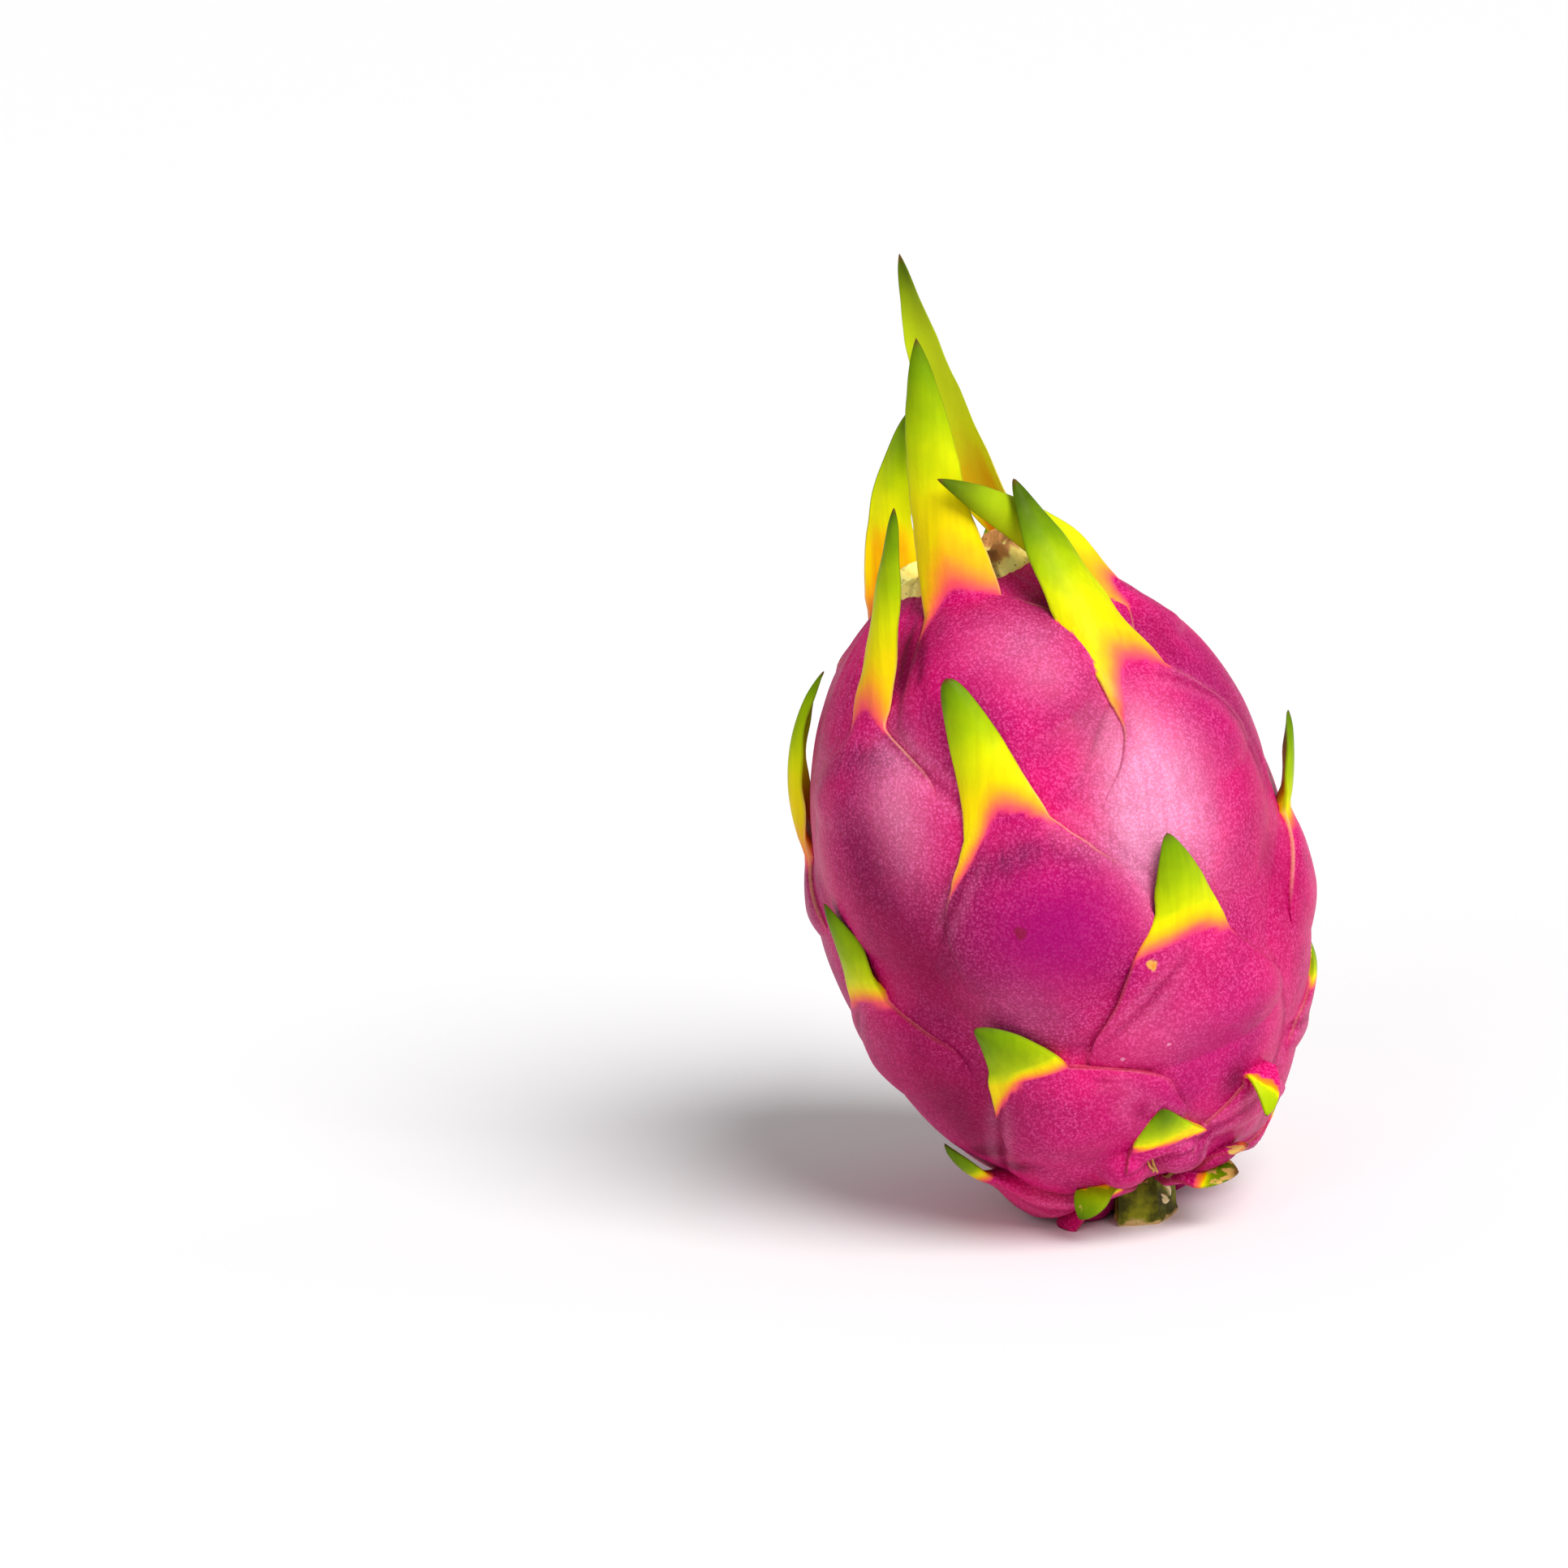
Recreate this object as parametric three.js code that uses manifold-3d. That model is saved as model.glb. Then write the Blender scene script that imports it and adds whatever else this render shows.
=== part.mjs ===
/**
 * A whole, ripe dragon fruit standing on its stem end and leaning a little to one side.
 *
 * Millimetres, +Z up, -Y towards the front, +X to the right. The origin is on the surface that
 * the fruit rests on, under the middle of the cut stem. The skin and its leafy
 * scales are one grown body. The cut stem and the withered flower scar are pieces of their own.
 */
import * as THREE from 'three';
import { mergeVertices } from 'three/addons/utils/BufferGeometryUtils.js';
import Module from 'manifold-3d';

const wasm = await Module();
wasm.setup();

const { PI, acos, atan2, cos, exp, hypot, max, min, sin, sqrt, tan } = Math;
const { clamp, degToRad, lerp, smoothstep } = THREE.MathUtils;

// ---- Driving dimensions -----------------------------------------------------------------

const FRUIT = {
  length: 113, // from the stem pole to the crown pole, along the leaning axis
  radius: 38.4, // at the widest place, without the scales
  skew: 0.075, // how far the widest place is moved towards the crown
  leanLeft: 14, // degrees between the axis and +Z, towards -X
  leanBack: 3, // the same, towards +Y
  stemPole: [2.2, 4.8, 1.4], // the skin's lower pole
  cove: [9, 16.2], // depth and radius of the hollow in front of the cut stem
  coveTurn: 15, // which way it opens, in degrees from the front to the right
  rings: 30, // sections from pole to pole
  sides: 54, // points round a section
};

// The scales follow one spiral from the crown down: each is turned by the same step from the last.
const SPIRAL = { first: 129, step: 136 }; // degrees about the axis, from the front to the right

// One scale: a shield grown along the skin, a neck, and a free leafy blade above the neck.
const SCALE = {
  nudge: 0, // degrees off the spiral
  rise: 0, // height of the neck along the fruit's axis
  length: 10, // blade, from neck to tip
  neck: 5, // half width at the neck
  open: [0, 0], // degrees that the blade stands out from the fruit's axis, at the neck and the tip
  lean: [0, 0], // degrees that the blade leans sideways, at the neck and the tip
  twist: 0, // degrees that the blade turns about its own midrib
  taper: 2, // 1 is a triangle, 3 keeps its width until near the tip
  channel: 0.3, // how far the margins fold back, as a share of the half width
  skirt: [0, 0], // how much wider the blade is just above the neck, on the left and the right
  left: [15, 12, 1.15], // left side of the shield: half width, length it widens over, lateness
  right: [15, 12, 1.15], // the same on the right
  plate: 15, // length of the whole shield
  ledge: 0.5, // middle of the shield above the skin
  dome: 2.6, // how far the skin swells under the shield
  domeSize: [22, 21], // half width and half length of the swelling
  shift: 0, // how far the swelling lies to the right of the neck
  bend: 5, // length over which the blade leaves the skin
};
const SHORT = { left: [14, 11, 1.15], right: [14, 11, 1.15], plate: 13 };
const SMALL = {
  left: [9, 6, 1.15], right: [9, 6, 1.15], plate: 7, dome: 2, domeSize: [12, 11], bend: 3,
};
const SCALE_THICKNESS = 2.2; // at the neck, thinning to about half at the tip
const SCALE_SIDES = 8; // points round a section of a scale
const SHIELD_SECTIONS = [4, 6]; // on a short and a long shield
const LONG_SHIELD = 18; // where long begins
const BLADE_SECTIONS = [5, 6, 8]; // on a short, a middling and a long blade
const LONG_BLADES = [12, 25]; // where middling and long begin
const SHIELD_ROOT = -2; // depth of the shield's lower end below the skin
const SKIRT_SHARE = 0.3; // share of the blade that its skirt reaches up
const UNDERSIDE = 4.5; // the shield's underside is this much deeper in the skin than its top is high
const POLE_FADE = [4, 22]; // radii between which the swellings die away towards the poles
const DOME_POWER = 2.5; // roundness of a swelling: higher is flatter in the middle
const DOME_MERGE = 22; // power that joins neighbouring swellings: higher keeps the creases crisper

// From the crown down. The long ones stand round the flower scar, the short ones near the stem.
const SCALES = [
  { rise: 107, nudge: 19, length: 57, neck: 5.8, open: [3, -12], lean: [12, -9], taper: 2.1,
    channel: 0.5, skirt: [0, -5.1], left: [10, 9, 1.15], right: [7, 9, 1.15], plate: 10,
    dome: 1.6 },
  { rise: 107, nudge: -1, length: 45, open: [0, -6], lean: [5, 11], taper: 3, skirt: [0.6, 2.4],
    left: [13, 22, 1.6], right: [21, 18, 1], plate: 36, ledge: 0.3, shift: 3 },
  { rise: 104, nudge: 1, length: 36, neck: 6, open: [8, -24], lean: [-6, -34], ...SHORT },
  { rise: 99, nudge: -11, length: 41, neck: 4.2, open: [-27, -42], lean: [-23, -37], twist: -58,
    taper: 2.8, skirt: [0, -2.4], left: [13, 10, 1.15], right: [9, 10, 1.15], plate: 13,
    ledge: -0.1, dome: 1.6 },
  { rise: 93, nudge: 10, length: 38, neck: 3.4, open: [-10, -8], lean: [25, 24], taper: 3,
    skirt: [0.6, 0.8], left: [16, 13, 1.15], right: [14, 13, 1.15], plate: 30, shift: 1 },
  { rise: 95, nudge: 1, length: 21, open: [25, 45], dome: 2 },
  { rise: 89, nudge: 6, length: 38, neck: 6.2, open: [-22, -19], lean: [-1, -1], taper: 2.8,
    skirt: [0, 1], left: [19, 21, 2.8], right: [21, 20, 1.15], plate: 40, shift: 2 },
  { rise: 71, nudge: 5, length: 34, neck: 4.2, open: [12, -52], channel: 0.6 },
  { rise: 78, nudge: 3, length: 26, neck: 5.5, open: [-20, -44] },
  { rise: 74, nudge: 7, length: 26, neck: 6.3, open: [6, -9], lean: [-2, -8], taper: 1.6,
    skirt: [0.4, 0.8], left: [14, 15, 1.2], right: [18, 18, 1.15], plate: 40, ledge: 0.8,
    shift: 3 },
  { rise: 70, nudge: -1, length: 26, neck: 6, open: [2, 0] },
  { rise: 56, nudge: 15, length: 18, neck: 4.2, open: [30, 10], plate: 24 },
  { rise: 50, nudge: -3, length: 18, neck: 6, open: [10, 5], left: [17, 13, 1.15],
    right: [17, 13, 1.15], plate: 24 },
  { rise: 52, nudge: -1, length: 20, neck: 6, open: [10, 5], left: [17, 13, 1.15],
    right: [17, 13, 1.15] },
  { rise: 47, nudge: 4, length: 20, neck: 7, open: [26, 0], lean: [0, -6], taper: 1.3,
    left: [15, 15, 1.15], right: [18, 16, 1.15], plate: 32, ledge: 1.4, shift: 1 },
  { rise: 42, nudge: -1, length: 17, neck: 6, open: [12, 8], left: [17, 13, 1.15],
    right: [17, 13, 1.15] },
  { rise: 30, nudge: -22, length: 8, neck: 4, open: [10, -6], left: [13, 11, 1.15],
    right: [13, 11, 1.15] },
  { rise: 34, length: 13, neck: 7, open: [32, 26], lean: [-12, -28], taper: 1.3, left: [9, 12, 1.5],
    right: [20, 7, 0.9], plate: 24, shift: 3 },
  { rise: 30, nudge: -1, length: 13, neck: 6, open: [25, 20], left: [16, 12, 1.15],
    right: [16, 12, 1.15] },
  { rise: 21, nudge: -20, neck: 3.4, open: [136, 176], lean: [-22, -40], bend: 3, ...SHORT },
  { rise: 13, nudge: 1, length: 13, neck: 4.5, open: [70, 10], lean: [-10, -10], ...SHORT },
  { rise: 17, nudge: 2, length: 9, open: [60, 50], ...SHORT },
  { rise: 18.4, nudge: -9, length: 7.2, open: [50, 40], lean: [8, 6], taper: 1.1,
    left: [7, 5, 1.15], right: [8, 5, 1.15], plate: 5.5, ledge: 1.3, dome: 2, domeSize: [14, 13] },
  { rise: 8, length: 9, open: [115, 165], left: [11, 8, 1.15], right: [11, 8, 1.15], plate: 9,
    bend: 3 },
  { rise: 9, length: 7, neck: 4.5, open: [60, 40], left: [11, 8, 1.15], right: [11, 8, 1.15],
    plate: 9, dome: 2, domeSize: [14, 13] },
  { rise: 9.5, nudge: 8, length: 7, neck: 4, open: [110, 172], lean: [-24, -46], left: [9, 6, 1.15],
    right: [4.6, 5, 1.15], plate: 7, ledge: 1.2, dome: 2, domeSize: [12, 11], bend: 3 },
  { rise: 5, length: 8, neck: 4.5, open: [115, 165], ...SMALL },
  { rise: 8.5, nudge: -20, length: 5.4, neck: 3.6, open: [84, 96], lean: [40, 60],
    left: [4.2, 4, 1.15], right: [9, 6, 1.15], plate: 7, ledge: 1, dome: 2, domeSize: [12, 11],
    bend: 3 },
  { rise: 4.5, nudge: 22, length: 7, neck: 4.6, open: [110, 165], ...SMALL },
  { rise: 4, length: 6, neck: 4, open: [80, 70], ...SMALL },
  { rise: 5, nudge: 16, length: 9, neck: 4.8, open: [118, 114], lean: [40, 56], taper: 4,
    left: [4.6, 5, 1.15], right: [9, 6, 1.15], plate: 7, ledge: 2.2, dome: 2, domeSize: [12, 11],
    bend: 3 },
].map((row, order) => {
  const scale = { ...SCALE, ...row };
  scale.turn = degToRad(SPIRAL.first - SPIRAL.step * order + scale.nudge);
  scale.phi = phiAtRise(scale.rise);
  return scale;
});

// Plump lobes of the skin above the cut stem.
const LOBES = [
  { turn: -8, rise: 13.6, size: [4.4, 4.6], lift: 3.1 },
  { turn: 15, rise: 12.8, size: [4.6, 4.4], lift: 3.3 },
];
const LOBE_POWER = 2.4;

// The stem's stub: its foot as corners [x, y] on the resting plane, widened by `spread` higher up.
const STUB = {
  foot: [[-5.2, -6.4], [-1.8, -6.5], [1.6, -6.2], [3.6, -3], [5.2, 0.4], [4.6, 4.6], [1.2, 6.6],
    [-2.8, 6], [-5, 2.6], [-5.6, -2]],
  levels: [[0, 1], [5, 0.97], [8.4, 0.84], [10.8, 0.62]], // [height, spread]
};

// The withered collar left by the flower, at the crown pole: [radius, height along the axis].
const SCAR = {
  profile: [[10.4, 106.6], [12.2, 108.6], [12.6, 111.4], [12, 113.6], [10, 113.9], [8, 112.2],
    [4, 111]],
  base: 106.6, // height of its underside
  dish: 110.8, // height of the middle of its hollow top
  waves: 5, // bulges round its rim
  wave: 0.45, // their height
  tilt: 0.12, // slope up towards the fruit's right side
  sides: 30,
};

const CLEARANCE = 0.3; // gap round the stub and the scar where they sit in the fruit

// ---- The fruit's own axes ---------------------------------------------------------------

const AXIS = new THREE.Vector3(
  -tan(degToRad(FRUIT.leanLeft)), tan(degToRad(FRUIT.leanBack)), 1).normalize();
const FRONT = new THREE.Vector3(0, -1, 0).addScaledVector(AXIS, AXIS.y).normalize();
const SIDE = new THREE.Vector3().crossVectors(AXIS, FRONT);
const STEM_POLE = new THREE.Vector3(...FRUIT.stemPole);

/** A vector from its parts along other vectors, given as pairs [amount, vector]. */
function sum(...parts) {
  return parts.reduce((total, [amount, v]) => total.addScaledVector(v, amount), new THREE.Vector3());
}

/** Unit vector straight out of the axis at an angle about it. */
const outward = (turn) => sum([cos(turn), FRONT], [sin(turn), SIDE]);

/** Unit vector round the axis at an angle about it. */
const around = (turn) => sum([-sin(turn), FRONT], [cos(turn), SIDE]);

// ---- Skin -------------------------------------------------------------------------------

/** Angle from the stem pole (0) to the crown pole (PI) of the section at a height on the axis. */
function phiAtRise(rise) {
  return acos(1 - (2 * rise) / FRUIT.length);
}

/** Height, radius and their slopes at an angle between the poles. */
function profile(phi) {
  const half = FRUIT.length / 2;
  const egg = 1 - FRUIT.skew * cos(phi);
  return {
    rise: half * (1 - cos(phi)),
    radius: FRUIT.radius * sin(phi) * egg,
    dRise: half * sin(phi),
    dRadius: FRUIT.radius * (cos(phi) * egg + FRUIT.skew * sin(phi) ** 2),
  };
}

/** Millimetres along the skin for each radian between the poles. */
function stretch(phi) {
  const { dRise, dRadius } = profile(phi);
  return hypot(dRise, dRadius);
}

/** Millimetres [across, along] the skin from one place to another. */
function skinOffset(turn, phi, toTurn, toPhi) {
  const off = THREE.MathUtils.euclideanModulo(turn - toTurn + PI, 2 * PI) - PI;
  return [off * max(profile(phi).radius, 10), (phi - toPhi) * stretch((phi + toPhi) / 2)];
}

/** How far the scales' swellings lift the skin at a place. */
function swelling(turn, phi) {
  const total = SCALES.reduce((sumOfPowers, { turn: atTurn, phi: atPhi, shift, dome, domeSize }) => {
    const [across, along] = skinOffset(turn, phi, atTurn, atPhi);
    const [wide, tall] = domeSize;
    const reach = hypot((across - shift) / wide, (along + tall * 0.9) / tall);
    return sumOfPowers + (dome * max(1 - reach ** DOME_POWER, 0)) ** DOME_MERGE;
  }, 0);
  return total ** (1 / DOME_MERGE) * smoothstep(profile(phi).radius, ...POLE_FADE);
}

/** How far the plump lobes lift the skin at a place. */
function lobes(turn, phi) {
  return LOBES.reduce((total, lobe) => {
    const [across, along] = skinOffset(turn, phi, degToRad(lobe.turn), phiAtRise(lobe.rise));
    const reach = hypot(across / lobe.size[0], along / lobe.size[1]);
    return total + lobe.lift * max(1 - reach ** LOBE_POWER, 0);
  }, 0);
}

/** How far the skin draws back from the cut stem at a place. */
function cove(turn, phi) {
  const [depth, reach] = FRUIT.cove;
  const facing = smoothstep(cos(turn - degToRad(FRUIT.coveTurn)), 0.3, 0.8);
  const lower = 1 - smoothstep(phi, 1.2, PI / 2);
  return depth * exp(-((profile(phi).radius / reach) ** 3)) * facing * lower;
}

/** A point above (or below) the swollen skin. */
function skinPoint(turn, phi, height = 0) {
  const { rise, radius, dRise, dRadius } = profile(phi);
  const slope = hypot(dRise, dRadius);
  const lift = swelling(turn, phi) + lobes(turn, phi) - cove(turn, phi) + height;
  return sum(
    [1, STEM_POLE],
    [rise - (lift * dRadius) / slope, AXIS],
    [radius + (lift * dRise) / slope, outward(turn)],
  );
}

// ---- Lofts and solids -------------------------------------------------------------------

/** A closed mesh through rings of points, closed by one point below and one above. */
function loft(bottom, rings, top) {
  const sides = rings[0].length;
  const points = [bottom, ...rings.flat(), top];
  const at = (ring, side) => 1 + ring * sides + (side % sides);
  const faces = [];
  for (let side = 0; side < sides; side += 1) {
    faces.push(0, at(0, side + 1), at(0, side));
    for (let ring = 0; ring + 1 < rings.length; ring += 1) {
      faces.push(at(ring, side), at(ring, side + 1), at(ring + 1, side + 1));
      faces.push(at(ring, side), at(ring + 1, side + 1), at(ring + 1, side));
    }
    faces.push(points.length - 1, at(rings.length - 1, side), at(rings.length - 1, side + 1));
  }
  return new THREE.BufferGeometry().setFromPoints(points).setIndex(faces);
}

/** A solid that can be joined and cut, from a closed geometry with merged vertices. */
function solid(geometry) {
  return new wasm.Manifold(new wasm.Mesh({
    numProp: 3,
    vertProperties: new Float32Array(geometry.getAttribute('position').array),
    triVerts: new Uint32Array(geometry.getIndex().array),
  }));
}

/** A named mesh from a solid, with its own finish. */
function piece(name, body, color, roughness) {
  const { vertProperties, triVerts } = body.getMesh();
  const geometry = new THREE.BufferGeometry();
  geometry.setAttribute('position', new THREE.BufferAttribute(vertProperties, 3));
  geometry.setIndex(new THREE.BufferAttribute(triVerts, 1));
  geometry.computeVertexNormals();
  const material = new THREE.MeshStandardMaterial({ color, roughness, metalness: 0 });
  const mesh = new THREE.Mesh(geometry, material);
  mesh.name = name;
  return mesh;
}

// ---- Pieces -----------------------------------------------------------------------------

/** The fruit's body without its scales. */
function skinSolid() {
  const rings = [];
  for (let ring = 1; ring < FRUIT.rings; ring += 1) {
    const phi = (PI * ring) / FRUIT.rings;
    rings.push(Array.from({ length: FRUIT.sides },
      (_, side) => skinPoint((2 * PI * side) / FRUIT.sides, phi)));
  }
  return solid(loft(skinPoint(0, 0), rings, skinPoint(0, PI)));
}

/** Half width of one side of a scale at a distance above its neck (below it, where negative). */
function halfWidth(scale, [sideWidth, reach, late], skirt, along) {
  if (along > 0) {
    const blade = scale.neck * max(1 - (along / scale.length) ** scale.taper, 0) ** 0.85;
    return blade + skirt * (1 - smoothstep(along, 0, SKIRT_SHARE * scale.length));
  }
  const flare = sin((min(-along / reach, 1) ** late * PI) / 2);
  const hold = scale.plate / 2;
  const close = clamp((-along - hold) / (scale.plate - hold), 0, 1) ** 2.2;
  return lerp(scale.neck + skirt, sideWidth, flare) * sqrt(max(1 - close, 0.02));
}

/** How the blade points at a distance above the neck: its own three directions. */
function bladeDirections(scale, along) {
  const { dRise, dRadius } = profile(scale.phi);
  const part = clamp(along / scale.length, 0, 1);
  const skinAngle = atan2(dRadius, dRise);
  const openAngle = degToRad(lerp(...scale.open, part));
  const open = lerp(skinAngle, openAngle, smoothstep(along, 0, scale.bend));
  const lean = degToRad(lerp(...scale.lean, part)) * smoothstep(along, -2, scale.bend);
  const twist = degToRad(scale.twist) * smoothstep(along, 0, 3 * scale.bend);
  const up = sum([cos(open), AXIS], [sin(open), outward(scale.turn)]);
  const face = sum([cos(open), outward(scale.turn)], [-sin(open), AXIS]);
  const across = sum([cos(lean), around(scale.turn)], [-sin(lean), up]);
  return {
    forward: sum([cos(lean), up], [sin(lean), around(scale.turn)]),
    across: sum([cos(twist), across], [-sin(twist), face]),
    face: sum([cos(twist), face], [sin(twist), across]),
  };
}

/** A point of the blade's midrib, found by walking up from the neck. */
function midribPoint(scale, along) {
  const steps = 24;
  const step = along / steps;
  const point = skinPoint(scale.turn, scale.phi, scale.ledge);
  for (let i = 0; i < steps; i += 1) {
    point.addScaledVector(bladeDirections(scale, (i + 0.5) * step).forward, step);
  }
  return point;
}

/** One flat oval section of a scale. */
function scaleSection(scale, along) {
  const left = halfWidth(scale, scale.left, scale.skirt[0], along);
  const right = halfWidth(scale, scale.right, scale.skirt[1], along);
  const part = clamp(along / scale.length, 0, 1);
  const thickness = SCALE_THICKNESS * (1 - 0.55 * part) * sqrt(min((1 - part) / 0.15, 1));
  const free = smoothstep(along, -2, scale.bend);
  const sink = lerp(SHIELD_ROOT, scale.ledge, smoothstep(along, -scale.plate, -scale.plate * 0.45));
  const fold = scale.channel * smoothstep(along, 1, 12);
  const { across, face } = bladeDirections(scale, along);
  const rib = midribPoint(scale, along);
  return Array.from({ length: SCALE_SIDES }, (_, side) => {
    const angle = (-2 * PI * side) / SCALE_SIDES;
    const width = cos(angle) < 0 ? left : right;
    const x = width * cos(angle);
    const z = (thickness / 2) * sin(angle);
    const depth = z < 0 ? z * UNDERSIDE : z;
    const phi = clamp(scale.phi + along / stretch(scale.phi + along / 2 / stretch(scale.phi)),
      0.02, PI - 0.02);
    const turn = scale.turn + x / max(profile(phi).radius, 10);
    const onSkin = skinPoint(turn, phi, sink + depth);
    const onBlade = sum([1, rib], [x, across], [z - fold * width * cos(angle) ** 2, face]);
    return onSkin.lerp(onBlade, free);
  });
}

/** One scale with its shield, neck and blade. */
function scaleSolid(scale) {
  const shieldSections = SHIELD_SECTIONS[scale.plate > LONG_SHIELD ? 1 : 0];
  const stations = [];
  for (let i = 0; i < shieldSections; i += 1) {
    stations.push(-scale.plate * (1 - i / shieldSections) ** 0.8);
  }
  const bladeSections = BLADE_SECTIONS[LONG_BLADES.filter((long) => scale.length > long).length];
  for (let i = 0; i < bladeSections; i += 1) {
    stations.push(scale.length * (1 - (1 - i / bladeSections) ** 1.3));
  }
  const rings = stations.map((along) => scaleSection(scale, along));
  const foot = sum(...rings[0].map((point) => [1 / SCALE_SIDES, point]));
  return solid(loft(foot, rings, midribPoint(scale, scale.length)));
}

/** The stem's stub, grown outwards by a margin. */
function stubSolid(grow) {
  const middle = new THREE.Vector2();
  STUB.foot.forEach(([x, y]) => middle.add(new THREE.Vector2(x, y).divideScalar(STUB.foot.length)));
  const rings = STUB.levels.map(([height, spread]) => STUB.foot.map(([x, y]) => {
    const arm = new THREE.Vector2(x, y).sub(middle).multiplyScalar(spread);
    arm.setLength(arm.length() + grow);
    const level = height + (height > 0 ? grow : -grow);
    return new THREE.Vector3(middle.x + arm.x, middle.y + arm.y, level);
  }));
  const low = new THREE.Vector3(middle.x, middle.y, rings[0][0].z);
  const high = new THREE.Vector3(middle.x, middle.y, rings.at(-1)[0].z);
  return solid(loft(low, rings, high));
}

/** A point of the collar at a radius and height about the fruit's axis. */
function collarPoint(radius, height, turn) {
  const slope = SCAR.tilt * radius * sin(turn);
  return sum([1, STEM_POLE], [height + slope, AXIS], [radius, outward(turn)]);
}

/** The withered collar with its dished top. */
function scarSolid() {
  const rings = SCAR.profile.map(([radius, height], level) => (
    Array.from({ length: SCAR.sides }, (_, side) => {
      const turn = (2 * PI * side) / SCAR.sides;
      const rim = level > 1 && level < SCAR.profile.length - 1 ? SCAR.wave : 0;
      const bulge = rim * sin(SCAR.waves * turn) + 0.5 * rim * cos((SCAR.waves - 2) * turn);
      return collarPoint(radius + bulge, height + bulge, turn);
    })));
  return solid(loft(collarPoint(0, SCAR.base, 0), rings, collarPoint(0, SCAR.dish, 0)));
}

/** The plain pit in the crown that the collar sits in. */
function scarPit() {
  const margin = 1.5 * SCAR.wave + CLEARANCE;
  const radius = max(...SCAR.profile.map(([r]) => r)) + margin;
  const low = SCAR.base - CLEARANCE;
  const high = max(...SCAR.profile.map(([, height]) => height)) + margin;
  const turns = Array.from({ length: SCAR.sides }, (_, side) => (2 * PI * side) / SCAR.sides);
  const rings = [low, high].map((height) => turns.map((turn) => collarPoint(radius, height, turn)));
  return solid(loft(collarPoint(0, low, 0), rings, collarPoint(0, high, 0)));
}

/** Everything above the resting plane. */
function aboveFloor() {
  const size = 3 * FRUIT.length;
  const box = new THREE.BoxGeometry(size, size, size).translate(0, 0, size / 2);
  box.deleteAttribute('normal');
  box.deleteAttribute('uv');
  return solid(mergeVertices(box));
}

const room = aboveFloor();
const fruit = SCALES.reduce((body, scale) => body.add(scaleSolid(scale)), skinSolid())
  .subtract(stubSolid(CLEARANCE))
  .subtract(scarPit())
  .intersect(room);

const group = new THREE.Group();
group.add(piece('fruit', fruit, 0xc21a72, 0.42));
group.add(piece('stem_stub', stubSolid(0).intersect(room), 0x66701f, 0.7));
group.add(piece('flower_scar', scarSolid(), 0xb78f62, 0.85));

export default group;
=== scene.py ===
import logging
import math
from collections.abc import Callable
from dataclasses import dataclass, field
from enum import Enum

import bmesh
import bpy
import numpy as np
from mathutils import Matrix, Vector, noise


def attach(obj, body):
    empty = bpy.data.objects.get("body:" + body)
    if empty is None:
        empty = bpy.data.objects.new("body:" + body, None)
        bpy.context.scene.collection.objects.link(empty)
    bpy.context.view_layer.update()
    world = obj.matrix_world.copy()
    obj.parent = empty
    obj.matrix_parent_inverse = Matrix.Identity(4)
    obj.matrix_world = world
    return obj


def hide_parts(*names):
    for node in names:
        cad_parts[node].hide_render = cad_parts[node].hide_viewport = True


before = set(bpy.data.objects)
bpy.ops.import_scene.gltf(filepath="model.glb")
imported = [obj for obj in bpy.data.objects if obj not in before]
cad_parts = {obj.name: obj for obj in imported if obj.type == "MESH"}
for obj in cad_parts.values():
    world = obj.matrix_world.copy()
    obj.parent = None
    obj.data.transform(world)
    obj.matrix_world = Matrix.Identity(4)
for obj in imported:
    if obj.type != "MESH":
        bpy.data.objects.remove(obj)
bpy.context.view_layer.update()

LOG = logging.getLogger("dragon_fruit")
MM = 0.001
TAU = 2 * math.pi

# The values that each point of a mesh carries for its colours, and the mark of a sound point.
BLADE_VALUES = ("ripe", "edge", "inner", "glow", "dry", "blade", "brown", "russet")
SKIN_VALUES = ("crease", "dusk", "shade", "heart", "wax_and_highlight", "tone", "rise")
KNOWN = "known"

Colour = tuple[float, float, float, float]
Pair = tuple[float, float]
Triple = tuple[float, float, float]


# ---- Small helpers ----


def srgb(red: float, green: float, blue: float) -> Colour:
    """Turn a display colour into the linear colour that a shader takes.

    Args:
        red: Red, from 0 to 255.
        green: Green, from 0 to 255.
        blue: Blue, from 0 to 255.

    Returns:
        The linear colour with alpha 1.
    """
    def linear(channel: float) -> float:
        """Undo the display curve of one channel."""
        share = channel / 255
        return share / 12.92 if share <= 0.04045 else ((share + 0.055) / 1.055) ** 2.4

    return linear(red), linear(green), linear(blue), 1.0


def smooth(value: np.ndarray, low: float, high: float) -> np.ndarray:
    """Rise smoothly from 0 at low to 1 at high."""
    share = np.clip((value - low) / (high - low), 0.0, 1.0)
    return share * share * (3 - 2 * share)


def blend(start: np.ndarray, end: np.ndarray, share: np.ndarray) -> np.ndarray:
    """Go from start to end by a share."""
    return start + (end - start) * share


def arms(lengths: np.ndarray, direction: np.ndarray) -> np.ndarray:
    """An arm along a direction for each length."""
    return np.multiply.outer(lengths, direction)


def noise_at(points: np.ndarray, pitch: float, seed: float = 0.0) -> np.ndarray:
    """Smooth noise between about -1 and 1.

    Args:
        points: Places, as an array that ends in three coordinates.
        pitch: Distance from one bump to the next.
        seed: Shifts the pattern.

    Returns:
        One value for each place.
    """
    flat = points.reshape(-1, 3) / pitch + seed
    values = [noise.noise(Vector(place)) for place in flat.tolist()]
    return np.array(values).reshape(points.shape[:-1])


def lumps_at(points: np.ndarray, lumps: tuple[Triple, ...]) -> np.ndarray:
    """Noise of several kinds, each given by its height, pitch and seed."""
    return sum(height * noise_at(points, pitch, seed) for height, pitch, seed in lumps)


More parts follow.
